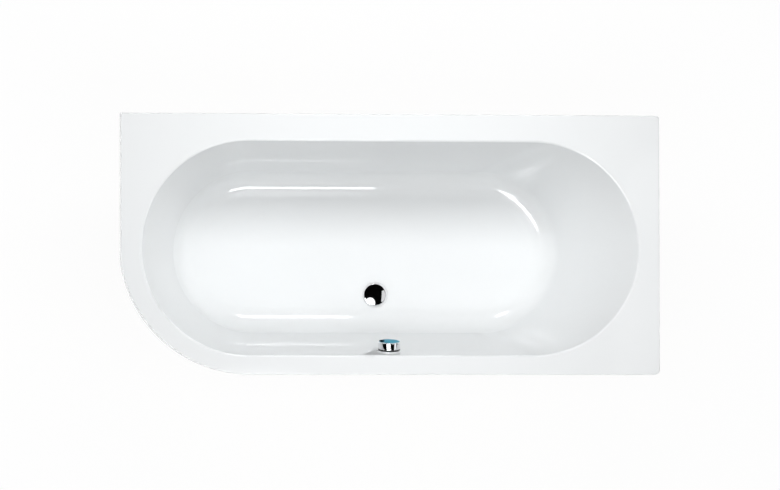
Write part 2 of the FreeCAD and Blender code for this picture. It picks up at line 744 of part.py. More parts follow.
# Waste, heights counted from the bottom of the recess
FLANGE_TOP = "(Dims.top_seal + Dims.flange_plate)"
SPIDER_TOP = "(Dims.spider_plate - Dims.neck_depth)"
BODY_TOP = "(-Dims.wall - Dims.bottom_seal)"
BODY_FLANGE_UNDER = f"({BODY_TOP} - Dims.body_flange)"
CUP_UNDER = "(-Dims.cup_depth - Dims.cup_bottom)"
OUTLET_LOW = f"({CUP_UNDER} - Dims.outlet_length)"
FIXING_HOLE = "Dims.fixing_radius + Dims.fixing_clearance"


def at_waste(body):
    return put(body, "0", WASTE_Y, WASTE_Z)


def six_holes(body, name, radius, pitch, top, depth):
    places = [(f"{pitch} * cos({60 * i})", f"{pitch} * sin({60 * i})") for i in range(6)]
    bore_holes(body, name, places, radius, top, depth)


flange = new_body("waste_flange")
turn(flange, "flange_turning", [
    (FIXING_HOLE, "-Dims.neck_depth"),
    ("Dims.neck_radius", "-Dims.neck_depth"),
    ("Dims.neck_radius", "Dims.top_seal"),
    ("Dims.flange_radius", "Dims.top_seal"),
    ("Dims.flange_radius", f"{FLANGE_TOP} - Dims.flange_plate / 2"),
    ("Dims.flange_radius - Dims.flange_plate / 2", FLANGE_TOP),
    ("Dims.neck_bore", FLANGE_TOP),
    ("Dims.neck_bore", SPIDER_TOP),
    (FIXING_HOLE, SPIDER_TOP),
])
six_holes(flange, "spider_holes", "Dims.spider_hole", "Dims.spider_pitch", SPIDER_TOP,
          "Dims.spider_plate * 2")
at_waste(flange)


def washer(label, inner, outer, low, high):
    body = new_body(label)
    turn(body, f"{label}_turning", [(inner, low), (outer, low), (outer, high), (inner, high)])
    return body


at_waste(washer("waste_top_seal", "Dims.seal_inner", "Dims.top_seal_outer", "0", "Dims.top_seal"))
at_waste(washer("waste_bottom_seal", "Dims.seal_inner", "Dims.bottom_seal_outer", BODY_TOP, "-Dims.wall"))

LEVER_TILT = "asin(Dims.plug_lift / 2 / Dims.lever_arm)"
PIVOT_Z = "(-Dims.pivot_depth)"
WIRE_Z = f"({PIVOT_Z} - Dims.crank_arm * (1 + cos({LEVER_TILT})) / 2)"
drain = new_body("waste_body")
turn(drain, "drain_outside", [
    ("0", OUTLET_LOW),
    ("Dims.outlet_radius", OUTLET_LOW),
    ("Dims.outlet_radius", CUP_UNDER),
    ("Dims.cup_radius", CUP_UNDER),
    ("Dims.cup_radius", BODY_FLANGE_UNDER),
    ("Dims.body_flange_radius", BODY_FLANGE_UNDER),
    ("Dims.body_flange_radius", BODY_TOP),
    ("0", BODY_TOP),
])
rod(drain, "Additive", "side_port", "Dims.spigot_radius", "Dims.side_port_reach",
    ("0", "0", "-Dims.side_port_depth"), (0, -1, 0))
rod(drain, "Additive", "shaft_boss_near", "Dims.shaft_boss", "Dims.crank_x - Dims.shaft_end_gap",
    ("0", "Dims.lever_arm", PIVOT_Z), (1, 0, 0))
rod(drain, "Additive", "shaft_boss_far", "Dims.shaft_boss", "Dims.cup_radius",
    ("0", "Dims.lever_arm", PIVOT_Z), (-1, 0, 0))
block(drain, "Additive", "cable_anchor", ("0", "-Dims.anchor_far", f"{WIRE_Z} - Dims.anchor_half"),
      ("Dims.wire_x + Dims.anchor_half", "Dims.anchor_length", "Dims.anchor_half * 2"))
turn(drain, "drain_inside", [
    ("0", OUTLET_LOW),
    ("Dims.outlet_bore", OUTLET_LOW),
    ("Dims.outlet_bore", "-Dims.cup_depth"),
    ("Dims.cup_bore", "-Dims.cup_depth"),
    ("Dims.cup_bore", BODY_TOP),
    ("0", BODY_TOP),
], "Groove")
rod(drain, "Subtractive", "side_port_bore", "Dims.spigot_bore", "Dims.side_port_reach",
    ("0", "-Dims.cup_bore / 2", "-Dims.side_port_depth"), (0, -1, 0))
BRIDGE_TOP = "(-Dims.neck_depth - Dims.bridge_height)"
BRIDGE_END = "((Dims.cup_bore + Dims.cup_radius) / 2)"
BRIDGE_LOW = f"({BRIDGE_TOP} - Dims.bridge_height)"
block(drain, "Additive", "bridge", (f"-{BRIDGE_END}", "-Dims.bridge_width / 2", BRIDGE_LOW),
      (f"{BRIDGE_END} * 2", "Dims.bridge_width", "Dims.bridge_height"))
rod(drain, "Additive", "bridge_boss", "Dims.bridge_hub", "Dims.bridge_height", ("0", "0", BRIDGE_LOW))
bore_holes(drain, "bridge_bore", [("0", "0")], FIXING_HOLE, BRIDGE_TOP, "Dims.bridge_height")
rod(drain, "Subtractive", "shaft_bore", "Dims.shaft_radius + Dims.shaft_clearance",
    "Dims.cup_radius - Dims.cup_bottom + Dims.crank_x",
    ("Dims.cup_bottom - Dims.cup_radius", "Dims.lever_arm", PIVOT_Z), (1, 0, 0))
rod(drain, "Subtractive", "sheath_bore", "Dims.sheath_radius + Dims.sheath_clearance", "Dims.anchor_far",
    ("Dims.wire_x", "-Dims.anchor_seat", WIRE_Z), (0, -1, 0))
rod(drain, "Subtractive", "wire_bore", "Dims.wire_bore", "Dims.anchor_far",
    ("Dims.wire_x", "0", WIRE_Z), (0, -1, 0))
at_waste(drain)

fixing = new_body("waste_fixing_screw")
STEM_HOLE = "Dims.stem_radius + Dims.stem_clearance"
turn(fixing, "fixing_turning", [
    (STEM_HOLE, f"{SPIDER_TOP} - Dims.fixing_length"),
    ("Dims.fixing_radius", f"{SPIDER_TOP} - Dims.fixing_length"),
    ("Dims.fixing_radius", SPIDER_TOP),
    ("Dims.fixing_head", SPIDER_TOP),
    ("Dims.fixing_head", f"{SPIDER_TOP} + Dims.fixing_head_height"),
    (STEM_HOLE, f"{SPIDER_TOP} + Dims.fixing_head_height"),
])
at_waste(fixing)

# Plug with its stem standing just clear of the lever ball
CAP_UNDER = f"({FLANGE_TOP} + Dims.plug_gap)"
STEM_LOW = f"({PIVOT_Z} - Dims.plug_lift / 2 + Dims.lever_ball + Dims.lever_gap)"
plug = new_body("waste_plug")
sketch = sketch_on(plug, "plug_profile", "XZ_Plane")
edge_z = f"({CAP_UNDER} + Dims.plug_edge)"
rise = "(Dims.plug_rise - Dims.plug_edge)"
dome = f"((Dims.plug_radius * Dims.plug_radius + {rise} * {rise}) / (2 * {rise}))"
boss_z = f"({CAP_UNDER} - Dims.plug_boss_depth)"
corners = [("0", STEM_LOW), ("Dims.stem_radius", STEM_LOW), ("Dims.stem_radius", boss_z),
           ("Dims.plug_boss", boss_z), ("Dims.plug_boss", CAP_UNDER),
           ("Dims.plug_radius", CAP_UNDER), ("Dims.plug_radius", edge_z)]
points = [V(value(x), value(y), 0) for x, y in corners]
for i in range(len(points) - 1):
    sketch.addGeometry(Part.LineSegment(points[i], points[i + 1]), False)
top_z = f"{CAP_UNDER} + Dims.plug_rise"
low_z = f"{top_z} - {dome}"
crown = V(0, value(top_z), 0)
swing = math.asin(value("Dims.plug_radius") / value(dome))
sketch.addGeometry(Part.ArcOfCircle(Part.Circle(V(0, value(low_z), 0), V(0, 0, 1), value(dome)),
                                    math.pi / 2 - swing, math.pi / 2), False)
sketch.addGeometry(Part.LineSegment(crown, points[0]), False)
for i in range(6):
    pin_point(sketch, i, 1, *corners[i])
for i in range(5):
    relate(sketch, "Coincident", i, 2, i + 1, 1)
pin_point(sketch, 5, 2, *corners[6])
relate(sketch, "Coincident", 5, 2, 6, 1)
relate(sketch, "Coincident", 6, 2, 7, 1)
relate(sketch, "Coincident", 7, 2, 0, 1)
relate(sketch, "PointOnObject", 6, 3, -2)
bind(sketch, "DistanceY", top_z, -1, 1, 6, 2)
relate(sketch, "PointOnObject", 6, 2, -2)
doc.recompute()
turning = feature(plug, "Revolution", "plug_turning", Profile=sketch, Angle=360)
turning.ReferenceAxis = (sketch, ["V_Axis"])
doc.recompute()
at_waste(plug)
at_waste(washer("plug_seal", "Dims.plug_boss + Dims.stem_clearance", "Dims.plug_seal_outer",
                f"{CAP_UNDER} - Dims.plug_seal_depth", CAP_UNDER))


# Lever inside the waste and crank outside it, drawn level about the shaft and tipped to the closed position
def at_pivot(body):
    return put(body, "0", f"{WASTE_Y} + Dims.lever_arm", f"{WASTE_Z} - Dims.pivot_depth", LEVER_TILT)


lever = new_body("lift_lever")
rod(lever, "Additive", "shaft", "Dims.shaft_radius",
    "Dims.crank_x + Dims.crank_gauge + Dims.cup_radius - Dims.cup_bottom - Dims.shaft_end_gap",
    ("Dims.cup_bottom - Dims.cup_radius + Dims.shaft_end_gap", "0", "0"), (1, 0, 0))
rod(lever, "Additive", "hub", "Dims.lever_hub", "Dims.lever_width",
    ("-Dims.lever_width / 2", "0", "0"), (1, 0, 0))
block(lever, "Additive", "bar", ("-Dims.lever_width / 2", "-Dims.lever_arm", "-Dims.lever_depth / 2"),
      ("Dims.lever_width", "Dims.lever_arm", "Dims.lever_depth"))
ball = feature(lever, "AdditiveSphere", "ball")
ball.setExpression("Radius", "Dims.lever_ball")
ball.setExpression("Placement.Base.y", "-Dims.lever_arm")
doc.recompute()
at_pivot(lever)

crank = new_body("lever_crank")
rod(crank, "Additive", "crank_eye", "Dims.crank_hub", "Dims.crank_gauge",
    ("Dims.crank_x", "0", "0"), (1, 0, 0))
block(crank, "Additive", "crank_arm", ("Dims.crank_x", "-Dims.crank_pin * 1.5", "-Dims.crank_arm"),
      ("Dims.crank_gauge", "Dims.crank_pin * 3", "Dims.crank_arm"))
rod(crank, "Additive", "crank_tip", "Dims.crank_pin * 1.5", "Dims.crank_gauge",
    ("Dims.crank_x", "0", "-Dims.crank_arm"), (1, 0, 0))
rod(crank, "Additive", "pin", "Dims.crank_pin", "Dims.wire_x + Dims.eye_gauge - Dims.crank_x",
    ("Dims.crank_x", "0", "-Dims.crank_arm"), (1, 0, 0))
rod(crank, "Subtractive", "crank_bore", "Dims.shaft_radius + Dims.grip_clearance", "Dims.crank_gauge",
    ("Dims.crank_x", "0", "0"), (1, 0, 0))
at_pivot(crank)

# Pull wire with an eye round the crank pin
PIN_Y = f"(Dims.lever_arm + Dims.crank_arm * sin({LEVER_TILT}))"
wire = new_body("pull_wire")
block(wire, "Additive", "eye",
      ("Dims.wire_x - Dims.eye_gauge / 2", f"{PIN_Y} - Dims.eye_length / 2", f"{WIRE_Z} - Dims.eye_height / 2"),
      ("Dims.eye_gauge", "Dims.eye_length", "Dims.eye_height"))
rod(wire, "Additive", "strand", "Dims.wire_radius", f"{PIN_Y} + Dims.wire_tail - Dims.eye_length / 4",
    ("Dims.wire_x", f"{PIN_Y} - Dims.eye_length / 4", WIRE_Z), (0, -1, 0))
rod(wire, "Subtractive", "eye_hole", "Dims.crank_pin + Dims.eye_slack", "Dims.eye_gauge * 2",
    ("Dims.wire_x - Dims.eye_gauge", PIN_Y, WIRE_Z), (1, 0, 0))
at_waste(wire)


# Overflow, drawn along +Z from the face of the wall into the bath
def at_overflow(body):
    return put(body, "0", OVERFLOW_Y, OVERFLOW_Z, OVERFLOW_TILT)


ELBOW_TOP = "(-Dims.wall - Dims.gasket)"
ELBOW_FLANGE_UNDER = f"({ELBOW_TOP} - Dims.elbow_flange)"
CHAMBER_LOW = f"({ELBOW_FLANGE_UNDER} - Dims.chamber_depth)"
SPIGOT_Z = f"({ELBOW_FLANGE_UNDER} - Dims.chamber_depth / 2 - Dims.gasket / 2)"
SPINDLE_HOLE = "Dims.spindle_radius + Dims.spindle_clearance"
faceplate = new_body("overflow_faceplate")
turn(faceplate, "plate_turning", [
    (SPINDLE_HOLE, "0"),
    ("Dims.thread_bore", "0"),
    ("Dims.thread_bore", "-Dims.thread_length"),
    ("Dims.thread_radius", "-Dims.thread_length"),
    ("Dims.thread_radius", "0"),
    ("Dims.plate_radius", "0"),
    ("Dims.plate_radius", "Dims.plate_gauge / 2"),
    ("Dims.plate_radius - Dims.plate_gauge / 2", "Dims.plate_gauge"),
    (SPINDLE_HOLE, "Dims.plate_gauge"),
])
six_holes(faceplate, "plate_holes", "Dims.plate_hole", "Dims.plate_pitch", "Dims.plate_gauge",
          "Dims.plate_gauge * 2")
at_overflow(faceplate)
at_overflow(washer("overflow_gasket", "Dims.gasket_inner", "Dims.gasket_outer", ELBOW_TOP, "-Dims.wall"))

elbow = new_body("overflow_body")
turn(elbow, "elbow_outside", [
    ("0", f"{CHAMBER_LOW} - Dims.chamber_back"),
    ("Dims.chamber_radius", f"{CHAMBER_LOW} - Dims.chamber_back"),
    ("Dims.chamber_radius", ELBOW_FLANGE_UNDER),
    ("Dims.elbow_flange_radius", ELBOW_FLANGE_UNDER),
    ("Dims.elbow_flange_radius", ELBOW_TOP),
    ("0", ELBOW_TOP),
])
rod(elbow, "Additive", "spigot", "Dims.spigot_radius", "Dims.spigot_drop", ("0", "0", SPIGOT_Z), (0, 1, 0))
block(elbow, "Additive", "cable_boss", ("0", "-Dims.cable_port", f"{SPIGOT_Z} - Dims.cable_port"),
      ("Dims.wire_x + Dims.cable_port", "Dims.cable_port * 2", "Dims.cable_port * 2"))
rod(elbow, "Additive", "cable_tube", "Dims.cable_port", "Dims.cable_port_drop",
    ("Dims.wire_x", "0", SPIGOT_Z), (0, 1, 0))
turn(elbow, "elbow_inside", [
    ("0", CHAMBER_LOW),
    ("Dims.chamber_bore", CHAMBER_LOW),
    ("Dims.chamber_bore", ELBOW_FLANGE_UNDER),
    ("Dims.thread_radius + Dims.thread_clearance", ELBOW_FLANGE_UNDER),
    ("Dims.thread_radius + Dims.thread_clearance", ELBOW_TOP),
    ("0", ELBOW_TOP),
], "Groove")
rod(elbow, "Subtractive", "spigot_hole", "Dims.spigot_bore", "Dims.spigot_drop",
    ("0", "Dims.chamber_bore / 2", SPIGOT_Z), (0, 1, 0))
rod(elbow, "Subtractive", "cable_hole", "Dims.sheath_radius + Dims.sheath_clearance", "Dims.cable_port_drop",
    ("Dims.wire_x", "Dims.cable_port", SPIGOT_Z), (0, 1, 0))
at_overflow(elbow)

KNOB_LOW = "(Dims.plate_gauge + Dims.knob_gap)"
KNOB_TOP = f"({KNOB_LOW} + Dims.knob_depth)"
GRIP_TOP = f"({KNOB_TOP} - Dims.knob_wall - Dims.hub_length + Dims.spindle_grip)"
knob = new_body("overflow_knob")
turn(knob, "knob_turning", [
    ("0", GRIP_TOP),
    ("Dims.spindle_radius + Dims.grip_clearance", GRIP_TOP),
    ("Dims.spindle_radius + Dims.grip_clearance", f"{KNOB_TOP} - Dims.knob_wall - Dims.hub_length"),
    ("Dims.hub_radius", f"{KNOB_TOP} - Dims.knob_wall - Dims.hub_length"),
    ("Dims.hub_radius", f"{KNOB_TOP} - Dims.knob_wall"),
    ("Dims.knob_radius - Dims.knob_wall", f"{KNOB_TOP} - Dims.knob_wall"),
    ("Dims.knob_radius - Dims.knob_wall", KNOB_LOW),
    ("Dims.knob_radius", KNOB_LOW),
    ("Dims.knob_radius", KNOB_TOP),
    ("0", KNOB_TOP),
])
round_off(knob, "knob_edge", "Dims.knob_round",
          lambda edge: level(edge, KNOB_TOP) and edge.BoundBox.XLength > value("Dims.knob_radius"))
GRUB_Z = f"({KNOB_TOP} - Dims.knob_wall - Dims.hub_length + Dims.spindle_grip / 2)"
rod(knob, "Subtractive", "grub_hole", "Dims.grub_radius + Dims.screw_clearance", "Dims.hub_radius",
    ("0", "0", GRUB_Z), (1, 0, 0))
at_overflow(knob)

spindle = new_body("overflow_spindle")
CAM_LOW = f"({CHAMBER_LOW} + Dims.chamber_depth / 2)"
turn(spindle, "spindle_turning", [
    ("0", CAM_LOW),
    ("Dims.cam_radius", CAM_LOW),
    ("Dims.cam_radius", f"{CAM_LOW} + Dims.cam_width"),
    ("Dims.spindle_radius", f"{CAM_LOW} + Dims.cam_width"),
    ("Dims.spindle_radius", GRIP_TOP),
    ("0", GRIP_TOP),
])
at_overflow(spindle)

grub = new_body("knob_grub_screw")
rod(grub, "Additive", "grub", "Dims.grub_radius", "Dims.hub_radius - Dims.spindle_radius",
    ("Dims.spindle_radius", "0", GRUB_Z), (1, 0, 0))
rod(grub, "Subtractive", "grub_fit", "Dims.spindle_radius + Dims.grip_clearance", "Dims.hub_length",
    ("0", "0", f"{GRUB_Z} - Dims.hub_length / 2"))
at_overflow(grub)


# Ring nuts on the two hose spigots
def ring_nut(body, name, end, inner, outer, length, lip_inner):
    chamfer = "Dims.nut_chamfer"
    return turn(body, name, [
        (inner, f"{end} - {length}"),
        (f"{outer} - {chamfer}", f"{end} - {length}"),
        (outer, f"{end} - {length} + {chamfer}"),
        (outer, f"{end} + Dims.nut_lip - {chamfer}"),
        (f"{outer} - {chamfer}", f"{end} + Dims.nut_lip"),
        (lip_inner, f"{end} + Dims.nut_lip"),
        (lip_inner, end),
        (inner, end),
    ])


NUT_BORE = "Dims.spigot_radius + Dims.nut_clearance"
HOSE_LIP = "Dims.hose_cuff + Dims.nut_clearance"
top_nut = new_body("hose_top_nut")
ring_nut(top_nut, "top_nut", "Dims.spigot_drop", NUT_BORE, "Dims.nut_ring", "Dims.nut_ring_length",
         HOSE_LIP)
SIDE = "Dims.side_draft - 180"
put(top_nut, "0", f"{OVERFLOW_Y} + {SPIGOT_Z} * cos(Dims.side_draft)",
    f"{OVERFLOW_Z} + {SPIGOT_Z} * sin(Dims.side_draft)", SIDE)
low_nut = new_body("hose_bottom_nut")
ring_nut(low_nut, "low_nut", "Dims.side_port_reach", NUT_BORE, "Dims.nut_ring", "Dims.nut_ring_length",
         HOSE_LIP)
put(low_nut, "0", WASTE_Y, f"{WASTE_Z} - Dims.side_port_depth", "90")


# Hose and cable share one kind of route: down the slope of the wall, one bend, level into the waste
def slope_route(x, start_drop, end_y, end_z, bend):
    draft = math.radians(value("Dims.side_draft"))
    down = V(0, math.sin(draft), -math.cos(draft))
    inward = V(0, math.cos(draft), math.sin(draft))
    origin = V(x, value(OVERFLOW_Y), value(OVERFLOW_Z)) + inward * value(SPIGOT_Z)
    start = origin + down * start_drop
    run = (start.z - end_z) / math.cos(draft)
    corner = start + down * run
    trim = bend * math.tan((math.pi / 2 - draft) / 2)
    bend_in = corner - down * trim
    bend_out = corner + V(0, trim, 0)
    return start, bend_in, bend_out, V(x, end_y, end_z), down, inward


def route_frames(route, bend, stations):
    start, bend_in, bend_out, finish, down, inward = route
    first = (bend_in - start).Length
    turn_angle = math.acos(down.y)
    arc = bend * turn_angle
    centre = bend_in + inward * bend
    frames = []
    for s in stations:
        if s <= first:
            frames.append((start + down * s, down))
        elif s <= first + arc:
            angle = (s - first) / bend
            heading = down * math.cos(angle) + inward * math.sin(angle)
            frames.append((centre + (down * math.sin(angle) - inward * math.cos(angle)) * bend, heading))
        else:
            frames.append((bend_out + V(0, s - first - arc, 0), V(0, 1, 0)))
    return frames


def route_length(route, bend):
    start, bend_in, bend_out, finish, down, inward = route
    return (bend_in - start).Length + bend * math.acos(down.y) + (finish - bend_out).Length


def round_tube(route, bend, radius):
    start, bend_in, bend_out, finish, down, inward = route
    centre = bend_in + inward * bend
    half = math.acos(down.y) / 2
    middle = centre + (down * math.sin(half) - inward * math.cos(half)) * bend
    path = Part.Wire([
        Part.LineSegment(start, bend_in).toShape(),
        Part.Arc(bend_in, middle, bend_out).toShape(),
        Part.LineSegment(bend_out, finish).toShape(),
    ])
    section = Part.Wire([Part.Circle(start, down, radius).toShape()])
    return path.makePipeShell([section], True, True)


def ring_at(place, heading, radius):
    side = V(1, 0, 0)
    turned = FreeCAD.Rotation(side, heading.cross(side), heading, "ZXY")
    edge = Part.Circle(V(0, 0, 0), V(0, 0, 1), radius).toShape()
    edge.Placement = FreeCAD.Placement(place, turned)
    return Part.Wire([edge])


def plain_solid(label, shape):
    made = doc.addObject("Part::Feature", label)
    made.Label = label
    made.Shape = shape
    nodes.append(made)
    return made


hose_bend = value("Dims.hose_bend")
hose_route = slope_route(0, value("Dims.spigot_drop - Dims.hose_entry"),
                         value(f"{WASTE_Y} - Dims.side_port_reach + Dims.hose_entry"),
                         value(f"{WASTE_Z} - Dims.side_port_depth"), hose_bend)
hose_length = route_length(hose_route, hose_bend)
cuff_end = value("Dims.hose_entry + Dims.nut_lip + Dims.cuff_spare")
ribbed = hose_length - 2 * cuff_end
ribs = round(ribbed / value("Dims.hose_pitch"))
pitch = ribbed / ribs
RIB_SHAPE = [(0.10, "Dims.hose_root"), (0.35, "Dims.hose_rib"),
             (0.65, "Dims.hose_rib"), (0.90, "Dims.hose_root")]
stations = [(0, "Dims.hose_cuff"), (cuff_end, "Dims.hose_cuff")]
for i in range(ribs):
    stations += [(cuff_end + pitch * (i + share), radius) for share, radius in RIB_SHAPE]
stations += [(hose_length - cuff_end, "Dims.hose_cuff"), (hose_length, "Dims.hose_cuff")]
frames = route_frames(hose_route, hose_bend, [s for s, radius in stations])
rings = [ring_at(place, heading, value(radius)) for (place, heading), (s, radius) in zip(frames, stations)]
hose_skin = Part.makeLoft(rings, True, True)
hose_bore = round_tube(hose_route, hose_bend, value("Dims.hose_bore"))
plain_solid("overflow_hose", hose_skin.cut(hose_bore))

cable_bend = value("Dims.cable_bend")
cable_route = slope_route(value("Dims.wire_x"), value("Dims.cable_port * 2"),
                          value(f"{WASTE_Y} - Dims.anchor_seat"), value(f"{WASTE_Z} + {WIRE_Z}"), cable_bend)
sheath = round_tube(cable_route, cable_bend, value("Dims.sheath_radius"))
sheath_bore = round_tube(cable_route, cable_bend, value("Dims.wire_bore"))
plain_solid("cable_sheath", sheath.cut(sheath_bore))

# Trap under the waste outlet
WASHER_LOW = f"({OUTLET_LOW} - Dims.washer)"
COLLAR_LOW = f"({WASHER_LOW} - Dims.collar)"
DIP = f"({COLLAR_LOW} - Dims.trap_lead)"
CREST = f"({DIP} + Dims.trap_rise)"
RUN_Z = f"({CREST} + Dims.trap_bend)"
RUN_Y = "(Dims.trap_bend * 3)"
RUN_END = f"({RUN_Y} + Dims.trap_run)"
at_waste(washer("trap_inlet_washer", "Dims.outlet_bore", "Dims.outlet_radius", WASHER_LOW, OUTLET_LOW))
inlet_nut = new_body("trap_inlet_nut")
turn(inlet_nut, "inlet_nut_turning", [
    ("Dims.outlet_radius + Dims.nut_clearance", f"{COLLAR_LOW} + Dims.trap_nut_length"),
    ("Dims.trap_nut_radius", f"{COLLAR_LOW} + Dims.trap_nut_length"),
    ("Dims.trap_nut_radius", f"{COLLAR_LOW} - Dims.collar"),
    ("Dims.trap_radius + Dims.nut_clearance", f"{COLLAR_LOW} - Dims.collar"),
    ("Dims.trap_radius + Dims.nut_clearance", COLLAR_LOW),
    ("Dims.outlet_radius + Dims.nut_clearance", COLLAR_LOW),
])
at_waste(inlet_nut)

trap = new_body("trap_body")


def trap_path(name):
    sketch = sketch_on(trap, name, "YZ_Plane")
    bend = value("Dims.trap_bend")
    dip, crest, top = value(DIP), value(CREST), value(WASHER_LOW)
    run_y, run_end = value(RUN_Y), value(RUN_END)
    up = V(0, 0, 1)
    sketch.addGeometry(Part.LineSegment(V(0, top, 0), V(0, dip, 0)), False)
    sketch.addGeometry(Part.ArcOfCircle(Part.Circle(V(bend, dip, 0), up, bend), math.pi, 2 * math.pi), False)
    sketch.addGeometry(Part.LineSegment(V(2 * bend, dip, 0), V(2 * bend, crest, 0)), False)
    sketch.addGeometry(Part.ArcOfCircle(Part.Circle(V(run_y, crest, 0), up, bend), math.pi / 2, math.pi), False)
    sketch.addGeometry(Part.LineSegment(V(run_y, crest + bend, 0), V(run_end, crest + bend, 0)), False)
    relate(sketch, "Tangent", 0, 2, 1, 1)
    relate(sketch, "Tangent", 1, 2, 2, 1)
    relate(sketch, "Tangent", 2, 2, 3, 2)
    relate(sketch, "Tangent", 3, 1, 4, 1)
    relate(sketch, "Vertical", 0)
    relate(sketch, "Vertical", 2)
    relate(sketch, "Horizontal", 4)
    pin_point(sketch, 0, 1, "0", WASHER_LOW)
    bind(sketch, "DistanceY", DIP, -1, 1, 0, 2)
    bind(sketch, "Radius", "Dims.trap_bend", 1)
    bind(sketch, "DistanceY", CREST, -1, 1, 2, 2)
    bind(sketch, "Radius", "Dims.trap_bend", 3)
    bind(sketch, "DistanceX", RUN_END, -1, 1, 4, 2)
    return sketch


outside_path = trap_path("trap_outside_path")
inside_path = trap_path("trap_inside_path")
outside_ring = sketch_on(trap, "trap_outside_ring", "XY_Plane", WASHER_LOW)
circle(outside_ring, "Dims.trap_radius")
inside_ring = sketch_on(trap, "trap_inside_ring", "XY_Plane", WASHER_LOW)
circle(inside_ring, "Dims.trap_bore")
doc.recompute()
feature(trap, "AdditivePipe", "trap_outside", Profile=outside_ring, Spine=(outside_path, []))
doc.recompute()
rod(trap, "Additive", "trap_collar", "Dims.outlet_radius", "Dims.collar", ("0", "0", COLLAR_LOW))
rod(trap, "Additive", "trap_socket", "Dims.socket_radius", "Dims.socket_length",
    ("0", f"{RUN_END} - Dims.socket_length + Dims.socket_depth", RUN_Z), (0, 1, 0))
feature(trap, "SubtractivePipe", "trap_inside", Profile=inside_ring, Spine=(inside_path, []))
doc.recompute()
rod(trap, "Subtractive", "trap_socket_bore", "Dims.socket_bore", "Dims.socket_depth",
    ("0", RUN_END, RUN_Z), (0, 1, 0))
at_waste(trap)

SOCKET_END = f"({RUN_END} + Dims.socket_depth)"
outlet_seal = washer("trap_outlet_seal", "Dims.socket_bore + Dims.nut_clearance", "Dims.socket_radius",
                     SOCKET_END, f"{SOCKET_END} + Dims.outlet_seal")
put(outlet_seal, "0", WASTE_Y, f"{WASTE_Z} + {RUN_Z}", "-90")
outlet_nut = new_body("trap_outlet_nut")
ring_nut(outlet_nut, "outlet_nut", f"{SOCKET_END} + Dims.outlet_seal",
         "Dims.socket_radius + Dims.nut_clearance", "Dims.outlet_nut_radius", "Dims.trap_nut_length",
         "Dims.socket_bore + Dims.nut_clearance * 2")
put(outlet_nut, "0", WASTE_Y, f"{WASTE_Z} + {RUN_Z}", "-90")

doc.recompute()
for item in doc.Objects:
    if "Invalid" in item.State or "Error" in item.State:
        raise RuntimeError(f"{item.Label} did not build: {item.State}")
os.makedirs("parts", exist_ok=True)
for node in nodes:
    shape = node.Shape
    if shape.isNull() or not shape.isValid() or not shape.Solids:
        raise RuntimeError(f"{node.Label} has no sound shape")
    shape.exportStep(f"parts/{node.Label}.step")
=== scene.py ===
import json
import math

import bmesh
import bpy
from mathutils import Matrix, Vector, noise


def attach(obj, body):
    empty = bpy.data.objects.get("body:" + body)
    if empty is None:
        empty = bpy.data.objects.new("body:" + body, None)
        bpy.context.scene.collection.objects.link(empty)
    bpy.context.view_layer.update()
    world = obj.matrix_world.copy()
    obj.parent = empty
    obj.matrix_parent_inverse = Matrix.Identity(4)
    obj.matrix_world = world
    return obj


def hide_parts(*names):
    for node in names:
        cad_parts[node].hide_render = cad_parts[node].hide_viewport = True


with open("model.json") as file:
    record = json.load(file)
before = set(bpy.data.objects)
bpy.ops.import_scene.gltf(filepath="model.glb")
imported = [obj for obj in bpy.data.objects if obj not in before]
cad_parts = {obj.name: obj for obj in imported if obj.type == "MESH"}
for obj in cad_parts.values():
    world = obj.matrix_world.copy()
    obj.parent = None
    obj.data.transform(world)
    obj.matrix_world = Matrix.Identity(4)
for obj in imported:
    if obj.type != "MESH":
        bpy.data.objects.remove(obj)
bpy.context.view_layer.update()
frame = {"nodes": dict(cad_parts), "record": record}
nodes = frame["nodes"]

# Sizes of the bath in metres, the same as those of its solids
LENGTH, WIDTH, RIM, LIP, WALL = 1.700, 0.815, 0.600, 0.040, 0.005
END_DECK, BACK_DECK, FRONT_DECK, DEPTH = 0.066, 0.085, 0.060, 0.420
SIDE_DRAFT, LEFT_DRAFT, RIGHT_DRAFT = math.radians(12.5), math.radians(20), math.radians(28)
FLOOR_FILLET, RIM_ROUND, EDGE_ROUND = 0.090, 0.008, 0.003
CORNER_RADIUS, CORNER_INSET, BACK_CORNER, FRONT_CORNER = 0.412, 0.408, 0.010, 0.016
BOWL_Y = (FRONT_DECK - BACK_DECK) / 2
HALF_WIDE = (WIDTH - BACK_DECK - FRONT_DECK) / 2
FLOOR_HALF_WIDE = HALF_WIDE - DEPTH * math.tan(SIDE_DRAFT)
ARC_X = LENGTH / 2 - END_DECK - HALF_WIDE
LEFT_SHIFT = math.tan(LEFT_DRAFT) - math.tan(SIDE_DRAFT)
RIGHT_SHIFT = math.tan(RIGHT_DRAFT) - math.tan(SIDE_DRAFT)
WASTE_EDGE, RECESS_RADIUS, RECESS_DEPTH, WASTE_HOLE = 0.108, 0.042, 0.002, 0.027
WASTE_Y = BOWL_Y - FLOOR_HALF_WIDE + WASTE_EDGE
WASTE_Z = RIM - DEPTH - RECESS_DEPTH
OVERFLOW_DEPTH, OVERFLOW_HOLE = 0.065, 0.026
OVERFLOW_Y = BOWL_Y - HALF_WIDE + OVERFLOW_DEPTH * math.tan(SIDE_DRAFT)
OVERFLOW = Vector((0, OVERFLOW_Y, RIM - OVERFLOW_DEPTH))
AT_WASTE = Matrix.Translation((0, WASTE_Y, WASTE_Z))
AT_OVERFLOW = Matrix.Translation(OVERFLOW) @ Matrix.Rotation(SIDE_DRAFT - math.pi / 2, 4, "X")


